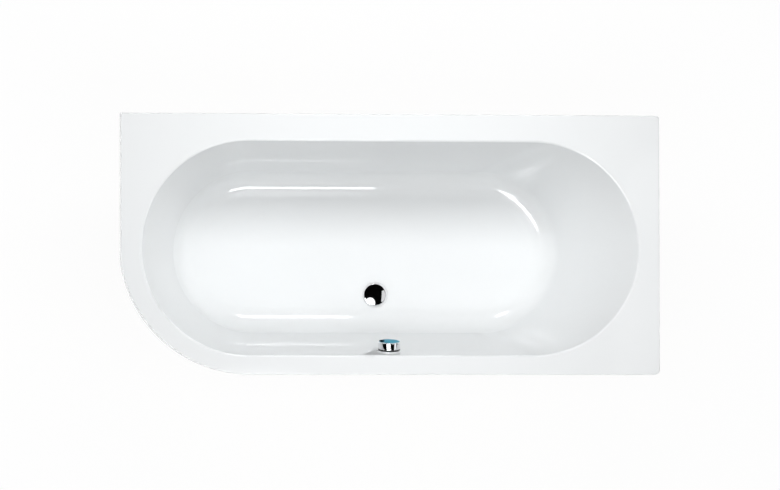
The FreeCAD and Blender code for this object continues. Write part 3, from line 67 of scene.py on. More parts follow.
# Shader building
class Sock:
    """A shader socket that takes part in arithmetic: each step adds a Math node."""

    def __init__(self, finish, socket):
        self.finish = finish
        self.socket = socket

    def step(self, operation, *terms):
        return self.finish.node("Math", {"operation": operation}, terms)

    def __add__(self, other):
        return self.step("ADD", self, other)

    def __sub__(self, other):
        return self.step("SUBTRACT", self, other)

    def __rsub__(self, other):
        return self.step("SUBTRACT", other, self)

    def __mul__(self, other):
        return self.step("MULTIPLY", self, other)

    __radd__ = __add__
    __rmul__ = __mul__


class Finish:
    """A material with one Principled shader, or a world with one Background, and the nodes that feed it."""

    def __init__(self, owner, shader="Principled BSDF"):
        owner.use_nodes = True
        self.owner = owner
        self.tree = owner.node_tree
        self.shader = self.tree.nodes[shader]

    def feed(self, socket, value):
        if isinstance(value, Sock):
            self.tree.links.new(value.socket, socket)
        else:
            socket.default_value = value

    def node(self, kind, settings=None, inputs=(), output=0):
        made = self.tree.nodes.new(f"ShaderNode{kind}")
        for name, value in (settings or {}).items():
            if name == "stops":
                for spare in range(2, len(value)):
                    made.color_ramp.elements.new(0.5)
                for element, (place, colour) in zip(made.color_ramp.elements, value):
                    element.position = place
                    element.color = (*colour, 1)
            else:
                setattr(made, name, value)
        for key, value in inputs.items() if isinstance(inputs, dict) else enumerate(inputs):
            self.feed(made.inputs[key], value)
        return Sock(self, made.outputs[output])

    def place(self, stretch=(1, 1, 1)):
        where = self.node("TexCoord", output="Object")
        return self.node("Mapping", inputs={"Vector": where, "Scale": stretch})

    def grain(self, scale, detail=3.0, stretch=(1, 1, 1)):
        return self.node("TexNoise", inputs={"Vector": self.place(stretch), "Scale": scale, "Detail": detail})

    def cells(self, scale, stretch=(1, 1, 1)):
        return self.node("TexVoronoi", inputs={"Vector": self.place(stretch), "Scale": scale}, output="Color")

    def ramp(self, value, stops):
        return self.node("ValToRGB", {"stops": stops}, [value])

    def mix(self, share, first, second):
        return self.node("Mix", {"data_type": "RGBA"}, {0: share, 6: first, 7: second}, output=2)

    def bump(self, height, strength, distance):
        return self.node("Bump", inputs={"Height": height, "Strength": strength, "Distance": distance})

    def paint(self, **values):
        for name, value in values.items():
            self.feed(self.shader.inputs[name.replace("_", " ").title().replace("Ior", "IOR")], value)
        return self.owner


def finish(name):
    return Finish(bpy.data.materials.new(name))


def rgb(*parts):
    return (*parts, 1)


# Finishes, one for each material slot of the bath
def white_acrylic():
    f = finish("white_acrylic")
    drift = f.grain(2.5, 2)
    peel = f.grain(70, 2)
    tint = f.mix(drift, rgb(0.747, 0.764, 0.772), rgb(0.764, 0.777, 0.783))
    return f.paint(base_color=tint, roughness=f.grain(25) * 0.02 + 0.035, ior=1.49,
                   normal=f.bump(peel, 0.02, 0.0005))


def glass_fibre():
    f = finish("glass_fibre")
    strands = f.grain(260, 4, (1, 0.12, 0.35)) * 0.5 + f.grain(260, 4, (0.12, 1, 0.35)) * 0.5
    resin = f.grain(18, 4)
    tint = f.ramp(strands * 0.7 + resin * 0.3, [(0.3, (0.62, 0.57, 0.44)), (0.55, (0.82, 0.79, 0.68)),
                                                (0.75, (0.93, 0.91, 0.84))])
    return f.paint(base_color=tint, roughness=0.85 - strands * 0.5,
                   normal=f.bump(strands + resin, 0.5, 0.0015))


def chipboard(name, dark, pale):
    f = finish(name)
    share = f.node("SeparateColor", inputs=[f.cells(330, (1, 0.55, 0.8))])
    fibre = f.grain(900, 2, (1, 0.3, 1))
    tint = f.mix(share * 0.7 + fibre * 0.3, rgb(*dark), rgb(*pale))
    return f.paint(base_color=tint, roughness=share * 0.2 + 0.7, normal=f.bump(share + fibre, 0.35, 0.0006))


def zinc(name, tone, spangle, gloss):
    f = finish(name)
    patch = f.node("SeparateColor", inputs=[f.cells(spangle)])
    wear = f.grain(30, 4)
    dark = rgb(*[part * 0.72 for part in tone])
    tint = f.mix(patch * 0.6 + wear * 0.4, dark, rgb(*tone))
    return f.paint(base_color=tint, metallic=1.0, roughness=patch * 0.12 + wear * 0.15 + gloss,
                   normal=f.bump(wear, 0.08, 0.0004))


def chrome(name, metal, gloss):
    f = finish(name)
    haze = f.grain(45, 4)
    tint = f.mix(haze, rgb(0.83, 0.84, 0.86), rgb(0.88, 0.885, 0.89))
    return f.paint(base_color=tint, metallic=metal, roughness=haze * 0.03 + gloss)


# The knob face's blue-grey colour is a painted reflection: it stands in for what the chrome face mirrors
def painted_reflection_face():
    f = finish("knob_face_painted_reflection")
    rings = f.grain(40, 3)
    tint = f.mix(rings, rgb(0.14, 0.33, 0.43), rgb(0.17, 0.38, 0.49))
    return f.paint(base_color=tint, metallic=1.0, roughness=rings * 0.05 + 0.06,
                   specular_tint=rgb(0.32, 0.6, 0.7))


def moulded(name, tone, gloss, pebble=500, depth=0.15):
    f = finish(name)
    cloud = f.grain(22, 4)
    skin = f.grain(pebble, 2)
    tint = f.mix(cloud, rgb(*[part * 0.84 for part in tone]), rgb(*[min(part * 1.1, 0.95) for part in tone]))
    return f.paint(base_color=tint, roughness=cloud * 0.14 + gloss, normal=f.bump(skin, depth, 0.0003))


FINISHES = {
    "acrylic": white_acrylic(),
    "glass_fibre": glass_fibre(),
    "board": chipboard("board_chips", (0.42, 0.30, 0.17), (0.76, 0.62, 0.42)),
    "batten": chipboard("batten_chips", (0.46, 0.34, 0.20), (0.80, 0.67, 0.47)),
    "zinc_steel": zinc("zinc_sheet", (0.72, 0.73, 0.74), 70, 0.24),
    "stud_steel": zinc("zinc_thread", (0.66, 0.66, 0.64), 300, 0.22),
    "fastener": zinc("zinc_fastener", (0.74, 0.71, 0.60), 350, 0.2),
    "foot_plastic": moulded("black_foot_plastic", (0.035, 0.035, 0.038), 0.42, 420, 0.3),
    "chrome": chrome("polished_chrome", 1.0, 0.03),
    "seal_rubber": moulded("seal_rubber", (0.03, 0.03, 0.03), 0.6, 700),
    "drain_plastic": moulded("grey_drain_plastic", (0.30, 0.31, 0.325), 0.34),
    "trap_plastic": moulded("white_trap_plastic", (0.84, 0.84, 0.82), 0.22, 350, 0.06),
    "hose_plastic": moulded("grey_hose_plastic", (0.36, 0.37, 0.385), 0.38),
    "cable_plastic": moulded("black_cable_plastic", (0.035, 0.035, 0.04), 0.36),
    "inner_metal": zinc("inner_steel", (0.74, 0.74, 0.74), 500, 0.12),
}
slot_of = {entry["node"]: entry["material_slot"] for entry in frame["record"]["subparts"]}
for name, node in nodes.items():
    node.data.materials.clear()
    node.data.materials.append(FINISHES[slot_of[name]])
satin = chrome("satin_chrome", 0.55, 0.28)
for name in ("waste_flange", "overflow_faceplate"):
    nodes[name].data.materials[0] = satin

# Mesh building
AXIS = 0.0001
TURNED_SHARP, CARVED_SHARP, TUBE_SHARP = 35, 40, 60


def soften(mesh, sharp):
    mesh.shade_smooth()
    mesh.set_sharp_from_angle(angle=math.radians(sharp))


def piece_from(mesh_tool, name, sharp=TURNED_SHARP):
    bmesh.ops.recalc_face_normals(mesh_tool, faces=mesh_tool.faces)
    mesh = bpy.data.meshes.new(name)
    mesh_tool.to_mesh(mesh)
    mesh_tool.free()
    soften(mesh, sharp)
    piece = bpy.data.objects.new(name, mesh)
    bpy.context.scene.collection.objects.link(piece)
    return piece


def add_loop(tool, points):
    return [tool.verts.new(point) for point in points]


def bridge(tool, loops, wrap=False):
    pairs = list(zip(loops, loops[1:]))
    if wrap:
        pairs.append((loops[-1], loops[0]))
    for upper, lower in pairs:
        for i in range(len(upper)):
            j = (i + 1) % len(upper)
            tool.faces.new((upper[i], upper[j], lower[j], lower[i]))


def fill_between(tool, outer, inner):
    edges = [tool.edges.get((loop[i - 1], loop[i])) for loop in (outer, inner) for i in range(len(loop))]
    bmesh.ops.triangle_fill(tool, edges=edges, use_beauty=True)


def stand_for(piece, body, slot, *cad_nodes):
    piece.data.materials.clear()
    piece.data.materials.append(FINISHES[slot])
    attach(piece, body)
    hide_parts(*cad_nodes)
    return piece


def carve(piece, cutter, operation="DIFFERENCE"):
    change = piece.modifiers.new("carve", "BOOLEAN")
    change.operation = operation
    change.solver = "EXACT"
    change.object = cutter
    bpy.context.view_layer.update()
    graph = bpy.context.evaluated_depsgraph_get()
    mesh = bpy.data.meshes.new_from_object(piece.evaluated_get(graph))
    piece.modifiers.clear()
    piece.data = mesh
    bpy.data.objects.remove(cutter)


def spun(name, rows, places=(Matrix(),), steps=96, wrap=False):
    """Turned pieces: each row is (radius, height), or a function of the angle that gives them."""
    tool = bmesh.new()
    for place in places:
        loops = []
        for row in rows:
            ring = []
            for i in range(steps):
                angle = 2 * math.pi * i / steps
                radius, height = row(angle) if callable(row) else row
                ring.append(place @ Vector((radius * math.cos(angle), radius * math.sin(angle), height)))
            loops.append(add_loop(tool, ring))
        bridge(tool, loops, wrap)
        if not wrap:
            tool.faces.new(loops[0])
            tool.faces.new(loops[-1])
    return piece_from(tool, name)


def round_cutter(name, radius, low, high, place):
    return spun(name, [(radius, low), (radius, high)], [place])


def raised_to(height, places):
    return [Matrix.Translation((*place, height)) for place in places]


def arc(centre, radius, start, end, steps):
    angles = [math.radians(start + (end - start) * i / steps) for i in range(steps + 1)]
    return [(centre[0] + radius * math.cos(a), centre[1] + radius * math.sin(a)) for a in angles]


# Acrylic shell
ARC_STEPS, RUN_STEPS = 120, 40
stations = [(-1 + 2 * i / RUN_STEPS, math.pi / 2) for i in range(RUN_STEPS)]
stations += [(1, math.pi / 2 - math.pi * i / ARC_STEPS) for i in range(ARC_STEPS)]
stations += [(1 - 2 * i / RUN_STEPS, -math.pi / 2) for i in range(RUN_STEPS)]
stations += [(-1, -math.pi / 2 - math.pi * i / ARC_STEPS) for i in range(ARC_STEPS)]


def draft_at(along, angle):
    shift = RIGHT_SHIFT if along > 0 else LEFT_SHIFT
    return math.atan(math.tan(SIDE_DRAFT) + shift * along * math.cos(angle))


def bowl_loop(base_depth, inset_and_depth):
    """A loop round the bowl: the local draft gives its inset from the contour at base_depth, and its depth."""
    loop = []
    middle = base_depth * (LEFT_SHIFT - RIGHT_SHIFT) / 2
    half = ARC_X - base_depth * (LEFT_SHIFT + RIGHT_SHIFT) / 2
    for along, angle in stations:
        inset, depth = inset_and_depth(draft_at(along, angle))
        reach = HALF_WIDE - base_depth * math.tan(SIDE_DRAFT) - inset
        loop.append(Vector((middle + along * half + reach * math.cos(angle),
                            BOWL_Y + reach * math.sin(angle), RIM - depth)))
    return loop


def opening_round(share):
    def where(draft):
        turn = share * (math.pi / 2 - draft)
        inset = RIM_ROUND * (math.tan(draft) - 1 / math.cos(draft) + math.sin(turn))
        return inset, RIM_ROUND * (1 - math.cos(turn))
    return where


def floor_round(share, out):
    def where(draft):
        turn = draft + share * (math.pi / 2 - draft)
        centre = FLOOR_FILLET * (1 - math.sin(draft)) / math.cos(draft)
        radius = FLOOR_FILLET + out
        return centre - radius * math.cos(turn), DEPTH - FLOOR_FILLET + radius * math.sin(turn)
    return where


def floor_loops(steps, out):
    return [bowl_loop(DEPTH, floor_round(i / steps, out)) for i in range(steps + 1)]


def wall_loop(depth, out):
    return bowl_loop(depth, lambda draft: (-out / math.cos(draft), depth))


BACK_STEPS, FRONT_STEPS, CORNER_STEPS, BIG_CORNER_STEPS = 24, 16, 8, 60


def rim_loop(inset, height):
    x, y = LENGTH / 2 - inset, WIDTH / 2 - inset
    back, front, big = BACK_CORNER - inset, FRONT_CORNER - inset, CORNER_RADIUS - inset
    big_x = CORNER_INSET - LENGTH / 2
    meet = 180 + math.degrees(math.acos((x + big_x) / big))
    points = [(-x + (2 * x - back) * i / BACK_STEPS, y) for i in range(BACK_STEPS)]
    points += arc((x - back, y - back), back, 90, 0, CORNER_STEPS)
    points += arc((x - front, front - y), front, 0, -90, CORNER_STEPS)
    points += [(x - front + (big_x - x + front) * i / FRONT_STEPS, -y) for i in range(1, FRONT_STEPS)]
    points += arc((big_x, big - y), big, 270, meet, BIG_CORNER_STEPS)
    return [Vector((*point, height)) for point in points]


FILLET_STEPS, OUTER_STEPS, ROUND_STEPS, EDGE_STEPS = 36, 12, 8, 5
BOSS_RADIUS, BOSS_TOP, CUT_REACH = 0.047, -0.001, 0.02
tool = bmesh.new()
inside = [add_loop(tool, bowl_loop(0, opening_round(i / ROUND_STEPS))) for i in range(ROUND_STEPS + 1)]
inside += [add_loop(tool, loop) for loop in floor_loops(FILLET_STEPS, 0)]
bridge(tool, inside)
tool.faces.new(inside[-1])
outside = [add_loop(tool, wall_loop(WALL, WALL))]
outside += [add_loop(tool, loop) for loop in floor_loops(OUTER_STEPS, WALL)]
bridge(tool, outside)
tool.faces.new(outside[-1])
lip = [add_loop(tool, rim_loop(inset, height)) for inset, height in
       [(WALL, RIM - WALL), (WALL, RIM - LIP), (0, RIM - LIP), (0, RIM - EDGE_ROUND)]]
for i in range(1, EDGE_STEPS + 1):
    turn = math.pi / 2 * i / EDGE_STEPS
    edge_inset, edge_drop = EDGE_ROUND * (1 - math.cos(turn)), EDGE_ROUND * (1 - math.sin(turn))
    lip.append(add_loop(tool, rim_loop(edge_inset, RIM - edge_drop)))
bridge(tool, lip)
fill_between(tool, lip[-1], inside[0])
fill_between(tool, lip[0], outside[0])
shell = piece_from(tool, "acrylic_shell")
carve(shell, round_cutter("boss", BOSS_RADIUS, -WALL, BOSS_TOP, AT_WASTE), "UNION")
carve(shell, round_cutter("recess", RECESS_RADIUS, 0, CUT_REACH, AT_WASTE))
carve(shell, round_cutter("waste_hole", WASTE_HOLE, -CUT_REACH, CUT_REACH, AT_WASTE))
carve(shell, round_cutter("overflow_hole", OVERFLOW_HOLE, -CUT_REACH, CUT_REACH, AT_OVERFLOW))
soften(shell.data, CARVED_SHARP)
level = shell.modifiers.new("level_faces", "WEIGHTED_NORMAL")
level.keep_sharp = True
stand_for(shell, "bath", "acrylic", "bath_shell")

# Plug, turned with soft edges
FLANGE_TOP, PLUG_GAP, PLUG_RADIUS, PLUG_EDGE, PLUG_RISE = 0.004, 0.0004, 0.035, 0.002, 0.0055
PLUG_SOFT, PLUG_UNDERCUT, PLUG_EDGE_DROP = 0.0006, 0.0004, 0.0007
STEM_LOW, STEM_RADIUS, STEM_TIP, PLUG_BOSS, PLUG_BOSS_DEPTH = -0.0641, 0.004, 0.0008, 0.0175, 0.005
CAP_UNDER = FLANGE_TOP + PLUG_GAP
dome_rise = PLUG_RISE - PLUG_EDGE
dome = (PLUG_RADIUS ** 2 + dome_rise ** 2) / (2 * dome_rise)
dome_lean = math.degrees(math.asin(PLUG_RADIUS / dome))
crown = arc((0, CAP_UNDER + PLUG_RISE - dome), dome, 90 - dome_lean * 0.97, 89.9, 24)
plug_rows = [(STEM_RADIUS - STEM_TIP, STEM_LOW), (STEM_RADIUS, STEM_LOW + STEM_TIP),
             (STEM_RADIUS, CAP_UNDER - PLUG_BOSS_DEPTH), (PLUG_BOSS, CAP_UNDER - PLUG_BOSS_DEPTH),
             (PLUG_BOSS, CAP_UNDER), (PLUG_RADIUS - PLUG_UNDERCUT, CAP_UNDER)]
plug_rows += arc((PLUG_RADIUS - PLUG_SOFT, CAP_UNDER + PLUG_EDGE - PLUG_EDGE_DROP), PLUG_SOFT, 0, 70, 4)
plug_rows += crown
stand_for(spun("waste_plug_turned", plug_rows, [AT_WASTE]), "plug", "chrome", "waste_plug")

# Overflow knob, turned, with a painted reflection tinting its face and painted dark reflection on its back edge
KNOB_RADIUS, KNOB_WALL, KNOB_LOW, KNOB_TOP, KNOB_ROUND = 0.035, 0.003, 0.004, 0.032, 0.004
KNOB_RING, RING_SINK, KNOB_SOFT, FACE_INNER = 0.005, 0.0004, 0.0005, 0.02
RING_BEVEL, RING_SHOULDER, SHOULDER_UP, RING_STEP = 0.0018, 0.0008, 0.0006, 0.0003
HUB_RADIUS, HUB_LENGTH, SPINDLE_HOLE, SPINDLE_GRIP = 0.009, 0.020, 0.00502, 0.014
FACE_MATERIAL, DARK_REFLECTION_RING, FACE_SLACK = 1, 2, 0.0002
hub_low = KNOB_TOP - KNOB_WALL - HUB_LENGTH
hollow = KNOB_RADIUS - KNOB_WALL
ring_top, ring_radius = KNOB_LOW + KNOB_RING, KNOB_RADIUS - RING_SINK
knob_rows = [(AXIS, hub_low + SPINDLE_GRIP), (SPINDLE_HOLE, hub_low + SPINDLE_GRIP), (SPINDLE_HOLE, hub_low),
             (HUB_RADIUS, hub_low), (HUB_RADIUS, KNOB_TOP - KNOB_WALL), (hollow, KNOB_TOP - KNOB_WALL),
             (hollow, KNOB_LOW + KNOB_SOFT), (hollow + KNOB_SOFT, KNOB_LOW),
             (KNOB_RADIUS - RING_BEVEL, KNOB_LOW), (KNOB_RADIUS - RING_SHOULDER, KNOB_LOW + SHOULDER_UP),
             (ring_radius, ring_top - RING_SINK), (ring_radius, ring_top), (KNOB_RADIUS, ring_top + RING_STEP)]
knob_rows += arc((KNOB_RADIUS - KNOB_ROUND, KNOB_TOP - KNOB_ROUND), KNOB_ROUND, 0, 90, 10)
knob_rows += [(FACE_INNER, KNOB_TOP), (AXIS, KNOB_TOP)]
knob = spun("overflow_knob_turned", knob_rows, [AT_OVERFLOW], steps=128)
stand_for(knob, "knob", "chrome", "overflow_knob")
# Second slot: the blue-grey painted reflection on the knob face
knob.data.materials.append(painted_reflection_face())
# Third slot: black rubber painted round the back edge, a painted dark reflection of the shaded gap behind the
# knob; only the small step there is real
knob.data.materials.append(FINISHES["seal_rubber"])
# Front faces take the painted reflection tint, faces round the back edge the painted dark band
for face in knob.data.polygons:
    place = AT_OVERFLOW.inverted() @ face.center
    if place.z > KNOB_TOP - FACE_SLACK:
        face.material_index = FACE_MATERIAL
    elif place.z < ring_top and place.xy.length > hollow + FACE_SLACK:
        face.material_index = DARK_REFLECTION_RING

# Glass fibre skin under the bowl, lumpy outside and with a ragged top edge
BACKING, BOND_GAP, BACKING_DROP = 0.003, 0.0003, 0.048
WALL_ROWS, TURN_ROWS, FADE_ROWS = 30, 14, 5
LUMP, LUMP_SCALE, FINE_SCALE, FRAY, FRAY_SCALE = 0.0011, 38, 110, 0.0035, 45
SKIN_WASTE_HOLE, SKIN_OVERFLOW_HOLE, SKIN_OVERFLOW_REACH = 0.0479, 0.044, 0.024


def skin_loops(thickness):
    out = WALL + BOND_GAP + thickness
    loops = [wall_loop(BACKING_DROP + (DEPTH - FLOOR_FILLET - BACKING_DROP) * i / WALL_ROWS, out)
             for i in range(WALL_ROWS)]
    for i in range(TURN_ROWS + 1):
        share = i / TURN_ROWS
        loops.append(bowl_loop(DEPTH, floor_round(share, out - BOND_GAP * share)))
    return loops


def roughen(loops):
    for row, loop in enumerate(loops):
        fade = min(1, (len(loops) - 1 - row) / FADE_ROWS)
        for point, (along, angle) in zip(loop, stations):
            lumps = noise.noise(point * LUMP_SCALE) * 0.6 + noise.noise(point * FINE_SCALE) * 0.4
            sink = LUMP * fade * (0.5 + 0.5 * max(-1, min(1, lumps * 1.6)))
            point.x -= sink * math.cos(angle)
            point.y -= sink * math.sin(angle)
    return loops


tool = bmesh.new()
inner_skin, outer_skin = skin_loops(0), roughen(skin_loops(BACKING))
for i in range(len(stations)):
    fray = FRAY * noise.noise(outer_skin[0][i] * FRAY_SCALE) - FRAY
    inner_skin[0][i].z += fray
    outer_skin[0][i].z += fray
skin = [add_loop(tool, loop) for loop in list(reversed(inner_skin)) + outer_skin]
bridge(tool, skin)
tool.faces.new(skin[0])
tool.faces.new(skin[-1])
backing = piece_from(tool, "glass_fibre_skin")
carve(backing, round_cutter("skin_waste_hole", SKIN_WASTE_HOLE, -CUT_REACH, CUT_REACH, AT_WASTE))
carve(backing, round_cutter("skin_overflow_hole", SKIN_OVERFLOW_HOLE, -SKIN_OVERFLOW_REACH, SKIN_OVERFLOW_REACH,
                            AT_OVERFLOW))
soften(backing.data, CARVED_SHARP)
stand_for(backing, "bath", "glass_fibre", "glassfibre_backing")

# Legs: threaded studs, hexagon nuts and moulded foot pads
STUD_RADIUS, STUD_PITCH, STUD_HOLE, THREAD_DEPTH, SOCKET = 0.006, 0.00175, 0.00606, 0.001, 0.010
BOARD_UNDER, WEB_UNDER, BOSS_UNDER = 0.154, 0.1515, 0.095
STUD_SPARE, BOSS_SPARE = 0.045, 0.030
LEFT_RAIL, RIGHT_RAIL, FOOT_Y, CENTRE_LEG = -0.43, 0.37, 0.3, (0.15, 0.0)
feet = {f"{depth}_{side}": (x, y) for depth, y in (("front", -FOOT_Y), ("back", FOOT_Y))
        for side, x in (("left", LEFT_RAIL), ("right", RIGHT_RAIL))}
rail_feet = list(feet.values())
feet["centre"] = CENTRE_LEG


def threaded(name, place, low, high, steps=24):
    root = STUD_RADIUS - THREAD_DEPTH
    thread = [(root, 0.0), (STUD_RADIUS, 0.4), (STUD_RADIUS, 0.52), (root, 0.9)]
    tool = bmesh.new()
    columns = []
    for i in range(int(((high - low) / STUD_PITCH + 2) * steps)):
        angle = 2 * math.pi * i / steps
        column = []
        for reach, share in thread:
            height = low + STUD_PITCH * (i / steps + share - 1)
            radius = reach if low < height < high else root
            column.append((place[0] + radius * math.cos(angle), place[1] + radius * math.sin(angle),
                           min(max(height, low), high)))
        columns.append(add_loop(tool, column))
    for i in range(len(columns) - 1):
        near, far = columns[i], columns[i + 1]
        if i + 1 + steps < len(columns):
            near, far = near + [columns[i + steps][0]], far + [columns[i + 1 + steps][0]]
        for p in range(len(near) - 1):
            tool.faces.new((near[p], far[p], far[p + 1], near[p + 1]))
    bmesh.ops.remove_doubles(tool, verts=tool.verts, dist=1e-6)
    bmesh.ops.holes_fill(tool, edges=[edge for edge in tool.edges if edge.is_boundary])
    return piece_from(tool, name)


NUT_FLATS, NUT_HEIGHT, NUT_SOFT, NUT_STEPS = 0.019, 0.010, 0.0009, 72
NUT_FACE = 0.96 * NUT_FLATS / 2


def hexagon(angle):
    return NUT_FLATS / 2 / math.cos(angle % (math.pi / 3) - math.pi / 6)


def nut_corner(angle):
    return (hexagon(angle) - NUT_FACE) * 0.55


nut_rows = [(STUD_HOLE + NUT_SOFT, 0), (STUD_HOLE, NUT_SOFT), (STUD_HOLE, NUT_HEIGHT - NUT_SOFT),
            (STUD_HOLE + NUT_SOFT, NUT_HEIGHT), (NUT_FACE, NUT_HEIGHT),
            lambda angle: (hexagon(angle), NUT_HEIGHT - nut_corner(angle)),
            lambda angle: (hexagon(angle), nut_corner(angle)), (NUT_FACE, 0)]
for node, places, low in (("leg_upper_nuts", rail_feet, BOARD_UNDER),
                          ("leg_lower_nuts", rail_feet, WEB_UNDER - NUT_HEIGHT),
                          ("centre_leg_nut", [CENTRE_LEG], BOSS_UNDER - NUT_HEIGHT)):
    nuts = spun(f"{node}_chamfered", nut_rows, raised_to(low, places), NUT_STEPS, wrap=True)
    stand_for(nuts, "bath", "fastener", node)

PAD_RADIUS, PAD_EDGE, PAD_NECK, PAD_HEIGHT = 0.028, 0.006, 0.015, 0.024
PAD_SOFT, PAD_CHAMFER, FLUTE, FLUTES, CONE_ROWS = 0.0012, 0.0008, 0.0009, 12, 6
GROOVE, GROOVE_SLOPE, TREAD, SOLE_EDGE = 0.0008, 0.0005, 0.0034, 0.0252
SOLE_MIDDLE, SOLE_RINGS, PAD_SHOULDER, PAD_SHOULDER_DROP = 0.003, (0.008, 0.014, 0.020), 0.0004, 0.0003


def fluted(radius, height):
    return lambda angle: (radius - FLUTE * (0.5 + 0.5 * math.cos(FLUTES * angle)) ** 2, height)


pad_rows = [(SOLE_MIDDLE, GROOVE)]
for ring in SOLE_RINGS:
    pad_rows += [(ring, GROOVE), (ring + GROOVE_SLOPE, 0), (ring + TREAD, 0),
                 (ring + TREAD + GROOVE_SLOPE, GROOVE)]
pad_rows += [(SOLE_EDGE, GROOVE), (SOLE_EDGE + GROOVE_SLOPE, 0)]
pad_rows += arc((PAD_RADIUS - PAD_SOFT, PAD_SOFT), PAD_SOFT, -90, 0, 5)
pad_rows += [(PAD_RADIUS, PAD_EDGE - PAD_SOFT), (PAD_RADIUS - PAD_SHOULDER, PAD_EDGE - PAD_SHOULDER_DROP)]
for i in range(CONE_ROWS + 1):
    share = 0.04 + 0.9 * i / CONE_ROWS
    cone = (PAD_RADIUS + (PAD_NECK - PAD_RADIUS) * share, PAD_EDGE + (PAD_HEIGHT - PAD_EDGE) * share)
    pad_rows.append(fluted(*cone) if 0 < i < CONE_ROWS else cone)
pad_rows += [(PAD_NECK - PAD_CHAMFER, PAD_HEIGHT), (STUD_HOLE + PAD_CHAMFER, PAD_HEIGHT),
             (STUD_HOLE, PAD_HEIGHT - PAD_CHAMFER), (STUD_HOLE, SOCKET)]
for name, place in feet.items():
    body = f"{name}_foot"
    top = BOARD_UNDER - BOSS_SPARE if name == "centre" else BOARD_UNDER + STUD_SPARE
    stand_for(threaded(f"{name}_stud_threaded", place, SOCKET, top), body, "stud_steel", f"{name}_leg_stud")
    pad = spun(f"{name}_pad_moulded", pad_rows, raised_to(0, [place]))
    stand_for(pad, body, "foot_plastic", f"{name}_foot_pad")

# Screws with pan heads and cross recesses
SCREW_HEAD, SCREW_HEAD_HEIGHT, SCREW_RADIUS, SCREW_BITE = 0.004, 0.0024, 0.002, 0.012
SCREW_POINT, SCREW_TIP, HEAD_SOFT, HEAD_ROWS, SCREW_STEPS = 0.004, 0.0002, 0.0002, 22, 64
CROSS_HALF, CROSS_SOFT, CROSS_REACH, CROSS_FADE, CROSS_DEPTH = 0.00062, 0.0002, 0.0024, 0.0004, 0.0013


def between(value):
    return max(0, min(1, value))


def recessed(radius):
    crown = SCREW_HEAD_HEIGHT * (1 - math.sqrt(max(0, 1 - (radius / SCREW_HEAD) ** 2))) * 0.8

    def row(angle):
        arm = radius * min(abs(math.sin(angle)), abs(math.cos(angle)))
        share = between((CROSS_HALF - arm) / CROSS_SOFT) * between((CROSS_REACH - radius) / CROSS_FADE)
        return radius, crown + CROSS_DEPTH * share
    return row


def screw_rows(grip):
    head = [recessed(AXIS + (SCREW_HEAD - AXIS) * i / HEAD_ROWS) for i in range(HEAD_ROWS + 1)]
    high = SCREW_HEAD_HEIGHT + grip + SCREW_BITE
    return head + [(SCREW_HEAD, SCREW_HEAD_HEIGHT * 0.85), (SCREW_HEAD - HEAD_SOFT, SCREW_HEAD_HEIGHT),
                   (SCREW_RADIUS, SCREW_HEAD_HEIGHT), (SCREW_RADIUS, high - SCREW_POINT), (SCREW_TIP, high)]


BOARD_INSET, RAIL_SCREW_EDGE, RAIL_GAUGE = 0.027, 0.035, 0.0025
LEG_PLATE_SCREW, LEG_PLATE_GAUGE = 0.032, 0.004
BRACKET_X, BRACKET_SCREW, BRACKET_INSET, BRACKET_GAUGE = 0.45, 0.018, 0.024, 0.0025
BATTEN_HEIGHT = 0.042
BATTEN_UNDER = RIM - WALL - BATTEN_HEIGHT
rail_screw_reach = FLOOR_HALF_WIDE - BOARD_INSET - RAIL_SCREW_EDGE
rail_screws = [(side, row / 3 * rail_screw_reach) for side in (LEFT_RAIL, RIGHT_RAIL) for row in (-3, -1, 1, 3)]
plate_screws = [(CENTRE_LEG[0] + i * LEG_PLATE_SCREW, j * LEG_PLATE_SCREW) for i in (-1, 1) for j in (-1, 1)]
bracket_screws = [(side + i * BRACKET_SCREW, WIDTH / 2 - BRACKET_INSET)
                  for side in (-BRACKET_X, BRACKET_X) for i in (-1, 1)]
for node, places, gauge, under in (("leg_rail_screws", rail_screws, RAIL_GAUGE, BOARD_UNDER),
                                   ("centre_leg_screws", plate_screws, LEG_PLATE_GAUGE, BOARD_UNDER),
                                   ("wall_bracket_screws", bracket_screws, BRACKET_GAUGE, BATTEN_UNDER)):
    low = under - gauge - SCREW_HEAD_HEIGHT
    screws = spun(f"{node}_pan_head", screw_rows(gauge), raised_to(low, places), SCREW_STEPS)
    stand_for(screws, "bath", "fastener", node)

# Pipe nuts with finger grips
GRIP, END_STEP, NUT_CHAMFER, NUT_LIP, NUT_CLEARANCE, PIPE_NUT_STEPS = 0.0016, 0.0012, 0.0015, 0.004, 0.0003, 240


def gripped(radius, height, ribs):
    return lambda angle: (radius - GRIP * (0.5 + 0.5 * math.cos(ribs * angle)) ** 3, height)


def ring_nut_rows(end, bore, radius, length, lip_bore, ribs, lip=NUT_LIP):
    low, high = end - length, end + lip
    return [(bore, low), (radius - NUT_CHAMFER - END_STEP, low), (radius - GRIP, low + NUT_CHAMFER),
            gripped(radius, low + NUT_CHAMFER + GRIP, ribs), gripped(radius, high - NUT_CHAMFER - GRIP, ribs),
            (radius - GRIP, high - NUT_CHAMFER), (radius - NUT_CHAMFER - END_STEP, high), (lip_bore, high),
            (lip_bore, end), (bore, end)]


